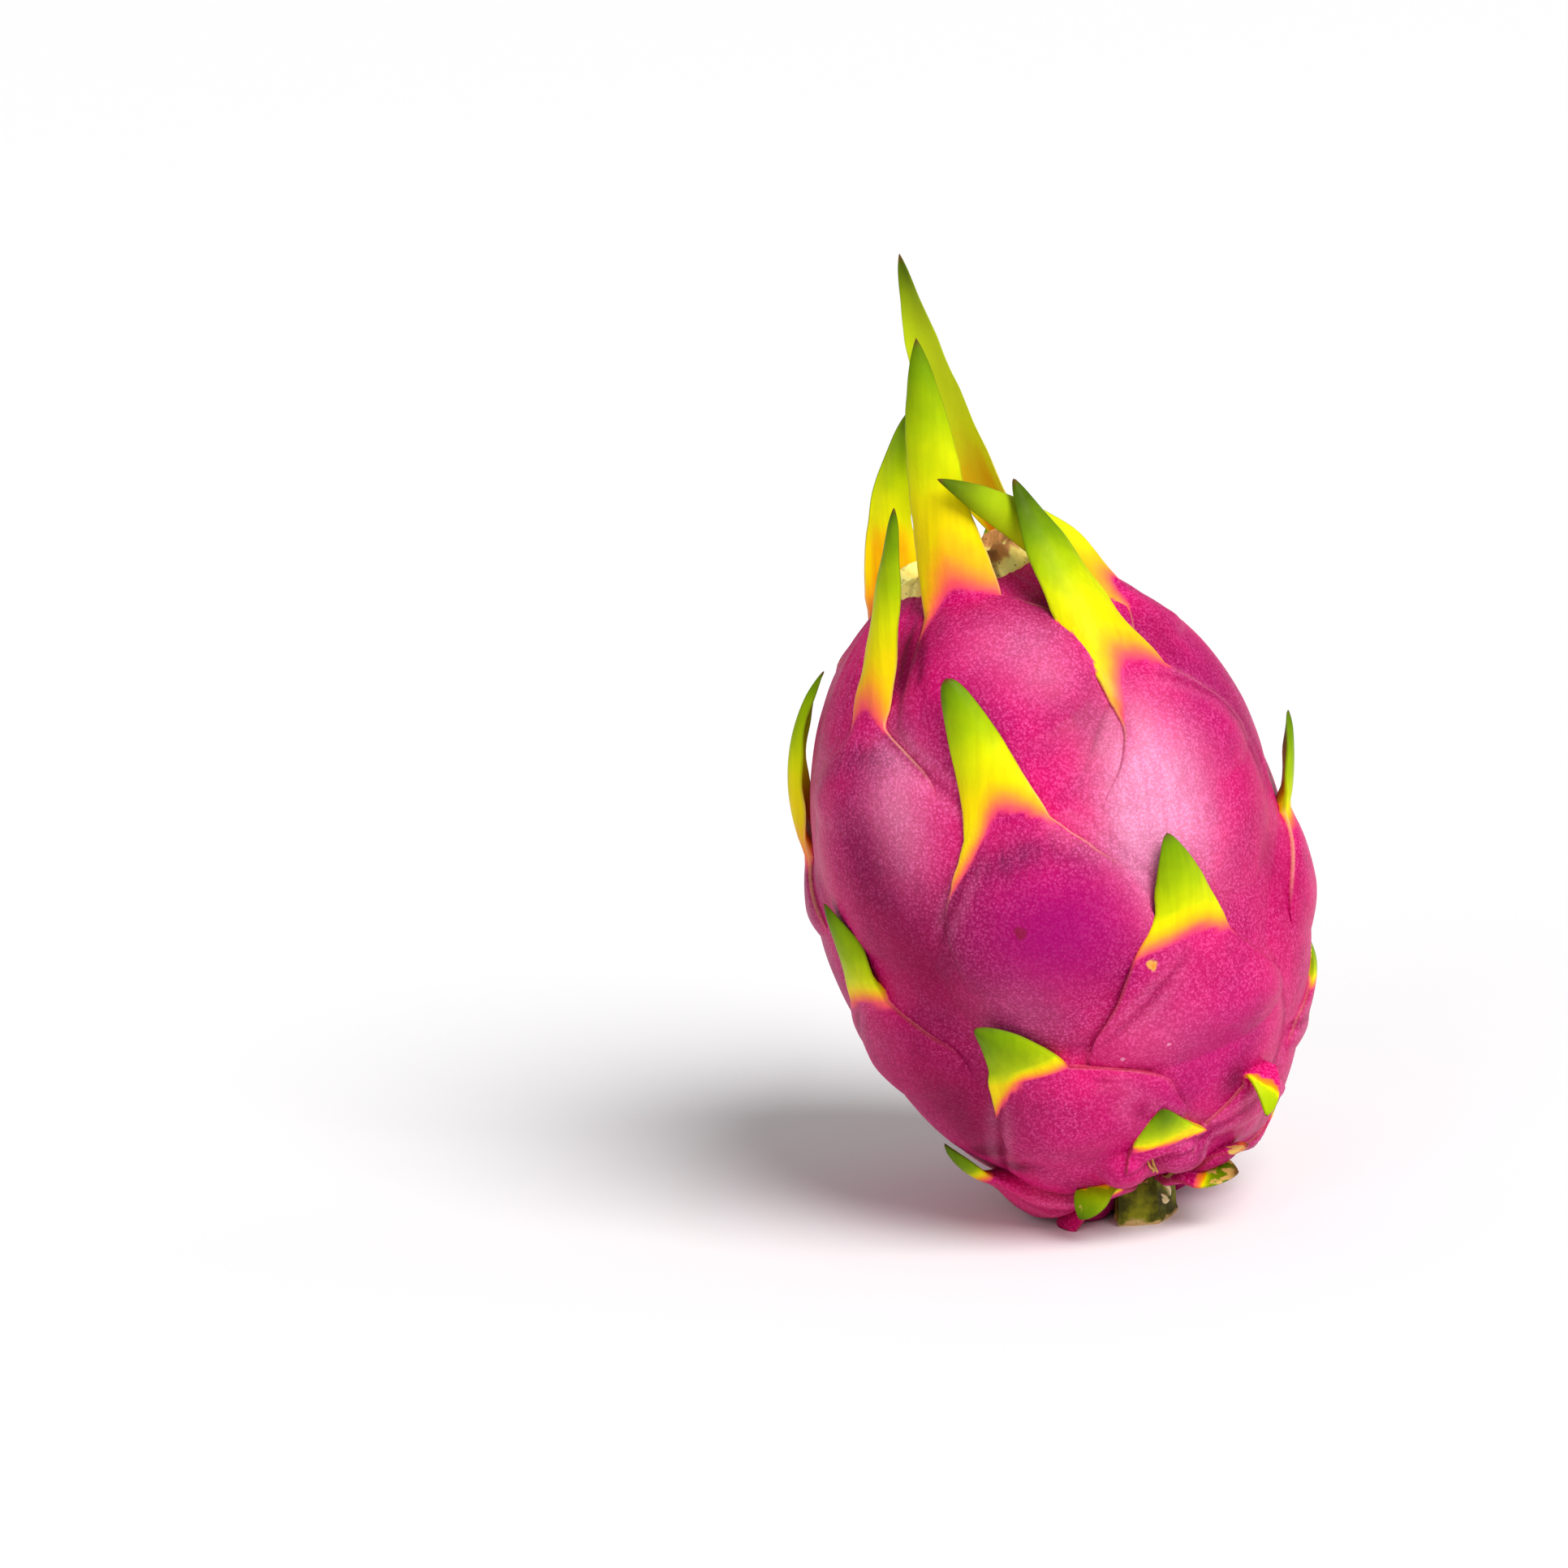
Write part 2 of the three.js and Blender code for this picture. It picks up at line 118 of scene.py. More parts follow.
def read_off(value: np.ndarray, table: tuple[Pair, ...]) -> np.ndarray:
    """Read values off a table of pairs, straight from one to the next."""
    return np.interp(value, *zip(*table))


def add_object(name: str, data: bpy.types.ID) -> bpy.types.Object:
    """Add an object with its mesh, light or camera to the scene."""
    made = bpy.data.objects.new(name, data)
    bpy.context.scene.collection.objects.link(made)
    return made


# ---- Meshes ----


@dataclass
class Form:
    """A mesh in millimetres with a value of each kind for each of its points."""

    points: np.ndarray
    faces: list[tuple[int, ...]]
    values: dict[str, np.ndarray] = field(default_factory=dict)

    @staticmethod
    def loft(rings: np.ndarray, bottom: np.ndarray, top: np.ndarray) -> "Form":
        """Join closed rings of points into one closed body.

        Args:
            rings: Array of rings, of points, of three coordinates.
            bottom: The point that closes the first ring.
            top: The point that closes the last ring.

        Returns:
            The body. Its points are the rings' points in order, then bottom, then top.
        """
        count, sides = rings.shape[:2]
        points = np.vstack([rings.reshape(-1, 3), bottom, top])
        low, high = count * sides, count * sides + 1
        faces: list[tuple[int, ...]] = []
        for side in range(sides):
            following = (side + 1) % sides
            faces.append((low, following, side))
            faces.append((high, (count - 1) * sides + side, (count - 1) * sides + following))
            for ring in range(count - 1):
                here, above = ring * sides, (ring + 1) * sides
                faces.append((here + side, here + following, above + following, above + side))
        form = Form(points, faces)
        form.face_outwards()
        return form

    @staticmethod
    def tube(path: np.ndarray, radius: float, flat: float = 1.0, sides: int = 8) -> "Form":
        """A thin closed strand along a path.

        Args:
            path: Its middle line.
            radius: Half its thickness, which runs out towards both ends.
            flat: How much wider than thick it is.
            sides: Points round it.

        Returns:
            The body.
        """
        run = np.gradient(path, axis=0)
        run /= np.linalg.norm(run, axis=1, keepdims=True)
        across = np.cross(run, np.array([0.3, 0.2, 1.0]))
        across /= np.linalg.norm(across, axis=1, keepdims=True)
        other = np.cross(run, across)
        angle = TAU * np.arange(sides) / sides
        size = radius * np.sqrt(np.sin(np.linspace(0.12, math.pi - 0.12, len(path))))[:, None]
        rings = (path[:, None, :]
                 + (size * np.cos(angle) * flat)[..., None] * across[:, None, :]
                 + (size * np.sin(angle))[..., None] * other[:, None, :])
        return Form.loft(rings, path[0], path[-1])

    def face_outwards(self) -> None:
        """Turn every face over if the body is inside out."""
        volume = 0.0
        for face in self.faces:
            first = self.points[face[0]]
            for one, two in zip(face[1:-1], face[2:]):
                volume += float(np.dot(first, np.cross(self.points[one], self.points[two])))
        if volume < 0:
            self.faces = [tuple(reversed(face)) for face in self.faces]

    def give(self, name: str, rings: np.ndarray, bottom: float = 0.0, top: float = 0.0) -> None:
        """Give the points of a loft their values of one kind."""
        self.values[name] = np.concatenate([rings.ravel(), [bottom, top]])

    def build(self, name: str) -> bpy.types.Object:
        """Make the Blender object, in metres, with the values as attributes."""
        mesh = bpy.data.meshes.new(name)
        mesh.from_pydata((self.points * MM).tolist(), [], self.faces)
        known = {KNOWN: np.ones(len(self.points))} if self.values else {}
        for kind, values in (self.values | known).items():
            attribute = mesh.attributes.new(kind, "FLOAT", "POINT")
            attribute.data.foreach_set("value", values.astype(np.float32))
        mesh.polygons.foreach_set("use_smooth", [True] * len(mesh.polygons))
        return add_object(name, mesh)


def merge(body: bpy.types.Object, others: list[bpy.types.Object]) -> None:
    """Grow other objects into a body, so that one closed skin is left.

    Args:
        body: The object that keeps the result.
        others: The objects that are joined in and then removed.
    """
    tools = bpy.data.collections.new("joined_in")
    for other in others:
        bpy.context.scene.collection.objects.unlink(other)
        tools.objects.link(other)
    modifier = body.modifiers.new("join", "BOOLEAN")
    modifier.operation = "UNION"
    modifier.operand_type = "COLLECTION"
    modifier.collection = tools
    modifier.solver = "MANIFOLD"
    graph = bpy.context.evaluated_depsgraph_get()
    joined = bpy.data.meshes.new_from_object(body.evaluated_get(graph))
    body.modifiers.clear()
    old = body.data
    body.data = joined
    joined.name = body.name
    bpy.data.meshes.remove(old)
    for other in others:
        mesh = other.data
        bpy.data.objects.remove(other)
        bpy.data.meshes.remove(mesh)
    bpy.data.collections.remove(tools)
    mend_seams(joined)


def mend_seams(mesh: bpy.types.Mesh, rounds: int = 12) -> None:
    """Carry the skin's values over the seams, and leave the blades' values 0 there.

    Args:
        mesh: A joined mesh, whose new points have no values yet.
        rounds: How many points deep a seam may be.
    """
    ends = np.empty(len(mesh.edges) * 2, dtype=np.int32)
    mesh.edges.foreach_get("vertices", ends)
    one, two = ends.reshape(-1, 2).T
    names = [name for name in (*SKIN_VALUES, KNOWN) if name in mesh.attributes]
    table = np.empty((len(names), len(mesh.vertices)), dtype=np.float32)
    for row, name in zip(table, names):
        mesh.attributes[name].data.foreach_get("value", row)
    sound = table[names.index(KNOWN)] > 0.999
    for _ in range(rounds):
        total = np.zeros_like(table)
        count = np.zeros(len(mesh.vertices))
        for here, there in ((one, two), (two, one)):
            np.add.at(count, here, sound[there])
            for row, sums in zip(table, total):
                np.add.at(sums, here, row[there] * sound[there])
        fresh = ~sound & (count > 0)
        table[:, fresh] = total[:, fresh] / count[fresh]
        sound = sound | fresh
    for row, name in zip(table, names):
        mesh.attributes[name].data.foreach_set("value", np.ascontiguousarray(row))


# ---- Scales: what each one is like ----


class Margin(Enum):
    """What the margin of a scale's blade looks like."""

    CREAM = 0.0
    RUSSET = 1.0
    PLAIN = 2.0


SPIRAL_FIRST = 129.0
SPIRAL_STEP = 136.0
LATE = 1.15


@dataclass(frozen=True)
class Scale:
    """One scale: a shield grown along the skin, a neck, and a free leafy blade above it.

    Lengths are in millimetres and angles in degrees. Pairs of angles run from the neck to the
    tip, other pairs from left to right. A side of the shield is its half width, the length over
    which it widens and how late it does. From run on, the values only serve the colours.
    """

    rise: float  # height of the neck along the axis
    nudge: float = 0.0  # turn off the spiral
    length: float = 10.0  # of the blade
    neck: float = 5.0  # half width
    opening: Pair = (0.0, 0.0)  # how far the blade stands out from the axis
    lean: Pair = (0.0, 0.0)  # how far the blade leans sideways
    twist: float = 0.0  # about its own midrib
    taper: float = 2.0  # 1 is a triangle, 3 keeps its width until near the tip
    tip: float = 0.85  # lower is blunter
    channel: float = 0.3  # how far the margins fold back, as a share of the half width
    skirt: Pair = (0.0, 0.0)  # how much wider the blade is just above the neck
    left: Triple = (15.0, 12.0, LATE)
    right: Triple = (15.0, 12.0, LATE)
    plate: float = 15.0  # length of the shield
    ledge: float = 0.5  # height of the shield above the skin
    dome: float = 2.6  # how far the skin swells under the shield
    dome_size: Pair = (22.0, 21.0)  # half width and half length of the swelling
    shift: float = 0.0  # how far the swelling lies to the right of the neck
    bend: float = 5.0  # length over which the blade leaves the skin
    run: Pair = (1.5, 0.8)  # how far yellow runs down the margins
    flame: float = 0.0  # how far pink runs up the midrib, as a share of the blade
    soft: float = 1.0  # how slowly pink turns to yellow
    green: float = 1.0  # how green the tip gets
    glow: float = 0.0  # light through the blade, fixed in its colour
    dusk: float = 0.2  # how dark the band below the neck is
    heart: float = 0.25  # how deep the colour in the middle of the swelling is
    margin: Margin = Margin.CREAM
    withered: float = 0.0  # how dry the tip is


def even(wide: float, reach: float, plate: float = 15.0) -> dict[str, object]:
    """The measures of a shield that is the same on both sides."""
    side = (wide, reach, LATE)
    return {"left": side, "right": side, "plate": plate}


SHORT = even(14, 11, 13)
SMALL = {**even(9, 6, 7), "dome": 2.0, "dome_size": (12.0, 11.0), "bend": 3.0,
         "margin": Margin.RUSSET}

SCALES = (
    Scale(107, 19, 57, 5.8, (3, -12), (12, -9), taper=2.1, channel=0.5, skirt=(0, -5.1),
          left=(10, 9, LATE), right=(7, 9, LATE), plate=10, dome=1.6, run=(5, 3), flame=0.02,
          green=1.05, glow=0.6),
    Scale(107, -1, 45, 5, (0, -6), (5, 11), taper=3, skirt=(0.6, 2.4), left=(13, 22, 1.6),
          right=(21, 18, 1), plate=36, ledge=0.3, shift=3, run=(7, 1.5), flame=0.07),
    Scale(104, 1, 36, 6, (8, -24), (-6, -34), **SHORT),
    Scale(99, -11, 41, 4.2, (-25, -39), (-23, -37), -58, 2.8, skirt=(0, -2.4),
          left=(13, 10, LATE), right=(9, 10, LATE), plate=13, ledge=-0.1, dome=1.6,
          run=(2, 0), flame=0.12, green=1.12, glow=0.25),
    Scale(93, 10, 38, 3.4, (-10, -8), (25, 24), taper=3, skirt=(0.6, 0.8), left=(16, 13, LATE),
          right=(14, 13, LATE), plate=21, shift=1, run=(1.5, 1.5), flame=0.08, dusk=0.9),
    Scale(95, 1, 21, opening=(25, 45), dome=2),
    Scale(89, 6, 38, 6.2, (-22, -19), (-1, -1), taper=2.8, skirt=(0, 1), left=(19, 21, 2.8),
          right=(21, 20, LATE), plate=27, shift=2, run=(7, 2), flame=0.07, green=1.12, dusk=0.1),
    Scale(71, 5, 34, 4.2, (12, -52), channel=0.6),
    Scale(78, 3, 15, 5, (-16, -26)),
    Scale(74, 7, 26, 6.3, (6, -9), (-2, -8), taper=1, tip=0.48, skirt=(0.4, 0.8),
          left=(14, 15, 1.2), right=(18, 18, LATE), plate=40, ledge=0.8, shift=3, run=(9, 1.5),
          flame=0.11, dusk=1, heart=1),
    Scale(70, -1, 26, 6, (2, 0)),
    Scale(56, 15, 18, 4.2, (30, 10), plate=24),
    Scale(50, -3, 18, 6, (10, 5), margin=Margin.RUSSET, **even(17, 13, 24)),
    Scale(52, -1, 20, 6, (10, 5), **even(17, 13)),
    Scale(47, 1.8, 20, 7, (26, 0), (1, -5), taper=1.2, tip=0.66, skirt=(4.6, 0.5),
          left=(20, 15, 1.3), right=(18, 16, LATE), plate=23, ledge=1.4, shift=1,
          run=(-1.2, 0.6), flame=0.13, soft=1.2, green=0.95, heart=0.6, margin=Margin.RUSSET),
    Scale(42, -1, 17, 6, (12, 8), margin=Margin.RUSSET, **even(17, 13)),
    Scale(30, -22, 8, 4, (10, -6), margin=Margin.RUSSET, **even(13, 11)),
    Scale(34, 0, 13, 7, (32, 26), (-12, -28), taper=1.3, left=(9, 12, 1.5), right=(20, 7, 0.9),
          plate=24, ledge=1.3, shift=3, run=(6, 0), margin=Margin.RUSSET),
    Scale(30, -1, 13, 6, (25, 20), margin=Margin.RUSSET, **even(16, 12)),
    Scale(21, -20, 10, 3.4, (136, 176), (-22, -40), bend=3, run=(-2, -5.6), flame=0.4,
          soft=0.9, green=0.74, margin=Margin.RUSSET, **SHORT),
    Scale(13, 1, 13, 5.2, (70, 10), (-10, -10), ledge=1.9, run=(-4, -4), flame=0.34, soft=1.2,
          margin=Margin.PLAIN, **SHORT),
    Scale(17, 2, 9, opening=(60, 50), margin=Margin.RUSSET, **SHORT),
    Scale(18.4, -9, 7.2, 5, (50, 40), (8, 6), taper=1.1, left=(7, 5, LATE), right=(8, 5, LATE),
          plate=5.5, ledge=1.3, dome=2, dome_size=(14, 13), run=(0, 2.5), flame=-0.12, soft=0.55,
          margin=Margin.RUSSET),
    Scale(8, 0, 9, opening=(115, 165), bend=3, green=0.85, **even(11, 8, 9)),
    Scale(9, 0, 7, 4.5, (60, 40), dome=2, dome_size=(14, 13), run=(-0.5, 0),
          margin=Margin.RUSSET, **even(11, 8, 9)),
    Scale(9.5, 8, 7, 4, (110, 172), (-24, -46), ledge=1.2, run=(0, 0), flame=0.1, withered=0.1,
          **{**SMALL, "right": (4.6, 5, LATE)}),
    Scale(5, 0, 8, 4.5, (115, 165), green=0.8, withered=0.3, **SMALL),
    Scale(8.5, -20, 5.4, 3.6, (84, 96), (40, 60), ledge=1, run=(-3, -3), flame=0.6, green=0.08,
          withered=0.6, **{**SMALL, "left": (4.2, 4, LATE)}),
    Scale(4.5, 22, 7, 4.6, (110, 165), green=0, **SMALL),
    Scale(4, 0, 6, 4, (80, 70), withered=0.3, **SMALL),
    Scale(5, 16, 9, 4.8, (118, 114), (40, 56), taper=4, ledge=2.2, run=(-3, -1.5), flame=0.35,
          withered=0.5, **{**SMALL, "left": (4.6, 5, LATE)}),
)


@dataclass(frozen=True)
class Patch:
    """An oval place on the skin: where its middle lies, its half sizes and how strong it is."""

    turn: float
    rise: float
    wide: float
    tall: float
    amount: float


LOBES = (Patch(-8, 13.6, 4.4, 4.6, 3.1), Patch(15, 12.8, 4.6, 4.4, 3.3))


@dataclass(frozen=True)
class Strand:
    """A dry thread on the skin, from one turn and rise to another."""

    start: Pair
    end: Pair
    radius: float
    brown: float
    lift: float = 0.3
    sway: float = 1.1


STRANDS = (
    Strand((1.8, 10.6), (1.2, 15.6), 0.21, 0.2, 0.2, 0.4),
    Strand((3.2, 10.2), (2.6, 16.2), 0.21, 0.1, 0.2, 0.4),
    Strand((8, 6.2), (13, 8.4), 0.34, 0.9), Strand((13, 5), (18, 7.6), 0.3, 0.85),
    Strand((20, 4.5), (23, 7.8), 0.32, 0.9), Strand((-7, 5.6), (-3, 8.8), 0.3, 0.9),
    Strand((16, 103.3), (19, 100.6), 0.13, 0, 0.05, 0.3),
    Strand((20, 100.2), (23, 98.2), 0.13, 0, 0.05, 0.3))

# Pale places on the skin. They stand for a broad highlight as well as for wax. That light is
# fixed in the colour, so it stays where it is under other lamps.
BLOOMS = (
    Patch(31, 70, 7, 14, 1), Patch(-33, 81, 5, 10, 0.6), Patch(21, 70, 5, 9, 0.75),
    Patch(20, 57, 3, 8, 0.25), Patch(3, 100, 6, 5, 0.16), Patch(14, 97, 6, 6, 0.25),
    Patch(-18, 44, 7, 7, 0.16), Patch(12, 36, 8, 6, 0.14))

# Dark places on the skin. They stand for shadow as well as for deep colour, and the first three
# for the shade of something that isn't in the scene. They too stay under other lamps.
SHADES = (
    Patch(-40, 56, 12, 17, 0.85), Patch(-50, 24, 9, 8, 0.6), Patch(-50, 34, 12, 9, 0.65),
    Patch(-47, 74, 6, 9, 0.5), Patch(-28, 102, 5, 7, 0.8), Patch(29, 103, 7, 6, 0.8),
    Patch(12, 44, 16, 9, 0.25), Patch(20, 85, 5, 7, 0.4), Patch(58, 92, 4.5, 5.5, 0.5),
    Patch(70, 75, 4.5, 8, 0.35), Patch(58, 62, 9, 13, 0.32), Patch(64, 46, 7, 14, 0.4),
    Patch(-54, 21, 4.5, 1.5, 0.9), Patch(-48, 17.5, 4.5, 1.5, 0.9), Patch(-31, 101, 0.9, 7, 0.9),
    Patch(-22, 99, 0.7, 6, 0.8), Patch(35, 22.6, 3.2, 3.8, 0.95))


# ---- Skin ----


@dataclass
class Skin:
    """The egg-shaped skin, leaning on its stem pole, with a swelling under each scale.

    Lengths are in millimetres and angles in degrees. A lump is its height, pitch and seed. The
    dusky band and the heart of a plate lie a drop below the scale's neck.
    """

    length: float = 113.0
    radius: float = 38.4
    skew: float = 0.075  # how much fuller the crown's half is
    lean_left: float = 14.0
    lean_back: float = 3.0
    stem_pole: Triple = (2.2, 4.8, 1.4)
    dome_power: float = 2.5
    dome_drop: float = 0.9  # from a neck to the swelling's middle, as a share of its length
    dome_merge: float = 22.0  # higher keeps the creases between swellings crisper
    lobe_power: float = 2.4
    pole_fade: Pair = (4.0, 22.0)  # radii between which the swellings die away
    least_radius: float = 10.0
    cove: Pair = (9.0, 16.2)  # depth and radius of the hollow above the stem
    cove_turn: float = 15.0
    lumps: tuple[Triple, ...] = ((0.2, 17.0, 3.0), (0.1, 6.5, 9.0))
    scatter: Triple = (12.9898, 4.1, 43758.5453)  # turns a scale's number into a chance value
    creep: tuple[Triple, ...] = ((0.34, 3.4, 5.0),)  # long wrinkles towards both poles
    creep_radius: float = 34.0
    creep_draw: float = 0.16  # lower draws the wrinkles out along the fruit
    crease_step: float = 0.3
    crease_width: float = 0.55
    band_drop: float = 4.5
    band_size: Pair = (11.0, 2.6)
    band_sag: float = 0.02
    heart_drop: float = 18.0
    heart_size: Pair = (13.0, 11.5)
    # How much of the pale colour the skin takes along each side of a crease.
    rim_paling: float = 0.14

    def __post_init__(self) -> None:
        """Work out the fruit's own axes and where each scale's neck lies."""
        axis = np.array([-math.tan(math.radians(self.lean_left)),
                         math.tan(math.radians(self.lean_back)), 1.0])
        self.axis = axis / np.linalg.norm(axis)
        front = np.array([0.0, -1.0, 0.0]) + self.axis * self.axis[1]
        self.front = front / np.linalg.norm(front)
        self.side = np.cross(self.axis, self.front)
        order = np.arange(len(SCALES))
        rises, nudges, self.domes, self.dome_sizes, self.shifts, self.dusks, self.hearts = (
            np.array([getattr(scale, measure) for scale in SCALES])
            for measure in ("rise", "nudge", "dome", "dome_size", "shift", "dusk", "heart"))
        self.turns = np.radians(SPIRAL_FIRST - SPIRAL_STEP * order + nudges)
        self.phis = self.phi_at(rises)
        pace, start, stretch = self.scatter
        self.tones = np.sin(order * pace + start) * stretch % 1.0

    def phi_at(self, rise: np.ndarray) -> np.ndarray:
        """Angle from the stem pole at a height along the axis."""
        return np.arccos(1 - 2 * rise / self.length)

    def outward(self, turn: np.ndarray) -> np.ndarray:
        """Unit vector straight out of the axis."""
        return arms(np.cos(turn), self.front) + arms(np.sin(turn), self.side)

    def around(self, turn: np.ndarray) -> np.ndarray:
        """Unit vector round the axis."""
        return arms(-np.sin(turn), self.front) + arms(np.cos(turn), self.side)

    def profile(self, phi: np.ndarray) -> tuple[np.ndarray, ...]:
        """Height, radius and their slopes at an angle from the stem pole.

        Args:
            phi: Angle, 0 at the stem pole and pi at the crown pole.

        Returns:
            Height along the axis, radius, and the slope of each with the angle.
        """
        half = self.length / 2
        egg = 1 - self.skew * np.cos(phi)
        return (half * (1 - np.cos(phi)), self.radius * np.sin(phi) * egg, half * np.sin(phi),
                self.radius * (np.cos(phi) * egg + self.skew * np.sin(phi) ** 2))

    def stretch(self, phi: np.ndarray) -> np.ndarray:
        """Millimetres along the skin for each radian between the poles."""
        _, _, d_rise, d_radius = self.profile(phi)
        return np.hypot(d_rise, d_radius)

    def offsets(self, turn: np.ndarray, phi: np.ndarray) -> tuple[np.ndarray, np.ndarray]:
        """Millimetres across and above each scale's neck, as two arrays ending in scales."""
        return self.off(turn[..., None], phi[..., None], self.turns, self.phis)

    def off(self, turn: np.ndarray, phi: np.ndarray, from_turn: np.ndarray,
            from_phi: np.ndarray) -> tuple[np.ndarray, np.ndarray]:
        """Millimetres across and above a place on the skin."""
        angle = (turn - from_turn + math.pi) % TAU - math.pi
        across = angle * np.maximum(self.profile(phi)[1], self.least_radius)
        return across, (phi - from_phi) * self.stretch((phi + from_phi) / 2)

    def swellings(self, turn: np.ndarray, phi: np.ndarray) -> np.ndarray:
        """How far each scale's own swelling would lift the skin."""
        across, along = self.offsets(turn, phi)
        middle = along + self.dome_sizes[:, 1] * self.dome_drop
        aside = across - self.shifts
        reach = np.hypot(aside / self.dome_sizes[:, 0], middle / self.dome_sizes[:, 1])
        return self.domes * np.maximum(1 - reach ** self.dome_power, 0)

    def oval(self, turn: np.ndarray, phi: np.ndarray, patch: Patch) -> np.ndarray:
        """Distance from the middle of a patch, as a share of its half sizes."""
        across, along = self.off(turn, phi, math.radians(patch.turn), self.phi_at(patch.rise))
        return np.hypot(across / patch.wide, along / patch.tall)

    def relief(self, turn: np.ndarray, phi: np.ndarray) -> np.ndarray:
        """Lift of the skin: its swellings, the cove at the stem and a grown unevenness."""
        domes = self.swellings(turn, phi)
        rise, radius = self.profile(phi)[:2]
        fade = smooth(radius, *self.pole_fade)
        lift = (domes ** self.dome_merge).sum(axis=-1) ** (1 / self.dome_merge) * fade
        for lobe in LOBES:
            reach = self.oval(turn, phi, lobe)
            lift = lift + lobe.amount * np.maximum(1 - reach ** self.lobe_power, 0)
        lower = smooth(-phi, -math.pi / 2, -1.2)
        facing = smooth(np.cos(turn - math.radians(self.cove_turn)), 0.3, 0.8)
        depth, wide = self.cove
        lift = lift - depth * np.exp(-(radius / wide) ** 3) * facing * lower
        out = self.outward(turn)
        place = out * radius[..., None] + arms(rise, self.axis)
        drawn = out * self.creep_radius + arms(rise * self.creep_draw, self.axis)
        ends = smooth(rise, 84.0, 104.0) + smooth(-rise, -16.0, -3.0)
        uneven = lumps_at(place, self.lumps) + lumps_at(drawn, self.creep) * ends
        return lift + uneven * smooth(radius, 1.0, 12.0)

    def point(self, turn: np.ndarray, phi: np.ndarray, height: np.ndarray) -> np.ndarray:
        """Places above (or below) the swollen skin."""
        rise, radius, d_rise, d_radius = self.profile(phi)
        slope = np.hypot(d_rise, d_radius)
        lift = self.relief(turn, phi) + height
        up = rise - lift * d_radius / slope
        out = radius + lift * d_rise / slope
        return (np.array(self.stem_pole) + up[..., None] * self.axis
                + out[..., None] * self.outward(turn))

    def crease_distance(self, turn: np.ndarray, phi: np.ndarray
                        ) -> tuple[np.ndarray, np.ndarray]:
        """The nearest crease between two swellings.

        Args:
            turn: Angles about the axis.
            phi: Angles from the stem pole.

        Returns:
            About how many millimetres off it is, and how sharp it is from 0 to 1.
        """
        step = self.crease_step
        radius = np.maximum(self.profile(phi)[1], 3.0)
        places = ((turn, phi), (turn + step / radius, phi), (turn, phi + step / self.stretch(phi)))
        first = np.argsort(self.swellings(turn, phi), axis=-1)[..., -2:]
        gaps = []
        for place in places:
            pair = np.take_along_axis(self.swellings(*place), first, axis=-1)
            gaps.append(pair[..., 1] - pair[..., 0])
        slope = np.hypot(gaps[1] - gaps[0], gaps[2] - gaps[0]) / step
        return gaps[0] / np.maximum(slope, 0.02), smooth(slope, 0.06, 0.25)

    def tints(self, turn: np.ndarray, phi: np.ndarray) -> dict[str, np.ndarray]:
        """What the colour of the skin depends on.

        Args:
            turn: Angles about the axis.
            phi: Angles from the stem pole.

        Returns:
            Masks from 0 to 1: painted shade in the creases between plates, partly deep skin
                colour;
            painted shadow and deep colour in darker places; dusky band under a neck; deep heart of
            a plate; painted highlight and wax in paler places, with a paler rim beside the
            creases; tone of the plate and height on the fruit.
        """
        domes = self.swellings(turn, phi)
        ranked = np.sort(domes, axis=-1)
        away, sharp = self.crease_distance(turn, phi)
        deep = smooth(ranked[..., -2], 0.2, 1.0) * sharp
        # Painted shade in the creases between swellings, partly deep skin colour.
        crease = np.exp(-(away / self.crease_width) ** 2) * deep
        across, along = self.offsets(turn, phi)
        wide, tall = self.band_size
        below = along + self.band_drop + self.band_sag * across ** 2
        band = np.exp(-(below / tall) ** 2 - (across / wide) ** 2)
        wide, tall = self.heart_size
        below = along + self.heart_drop
        heart = np.exp(-(below / tall) ** 2 - ((across - self.shifts) / wide) ** 2)
        wax_and_highlight, shade = (sum(patch.amount * np.exp(-self.oval(turn, phi, patch) ** 2)
                            for patch in patches) for patches in (BLOOMS, SHADES))
        rim = smooth(away, 0.5, 1.2) * smooth(-away, -3.6, -1.6) * deep
        return {
            "crease": crease * np.clip(1 - wax_and_highlight, 0, 1),
            "shade": np.clip(shade, 0, 1),
            "dusk": np.clip((band * self.dusks).sum(axis=-1), 0, 1),
            "heart": np.clip((heart * self.hearts).sum(axis=-1), 0, 1),
            "wax_and_highlight": np.clip(wax_and_highlight + self.rim_paling * rim, 0, 1),
            "tone": self.tones[np.argmax(domes, axis=-1)],
            "rise": self.profile(phi)[0] / self.length,
        }


# ---- Fruit ----


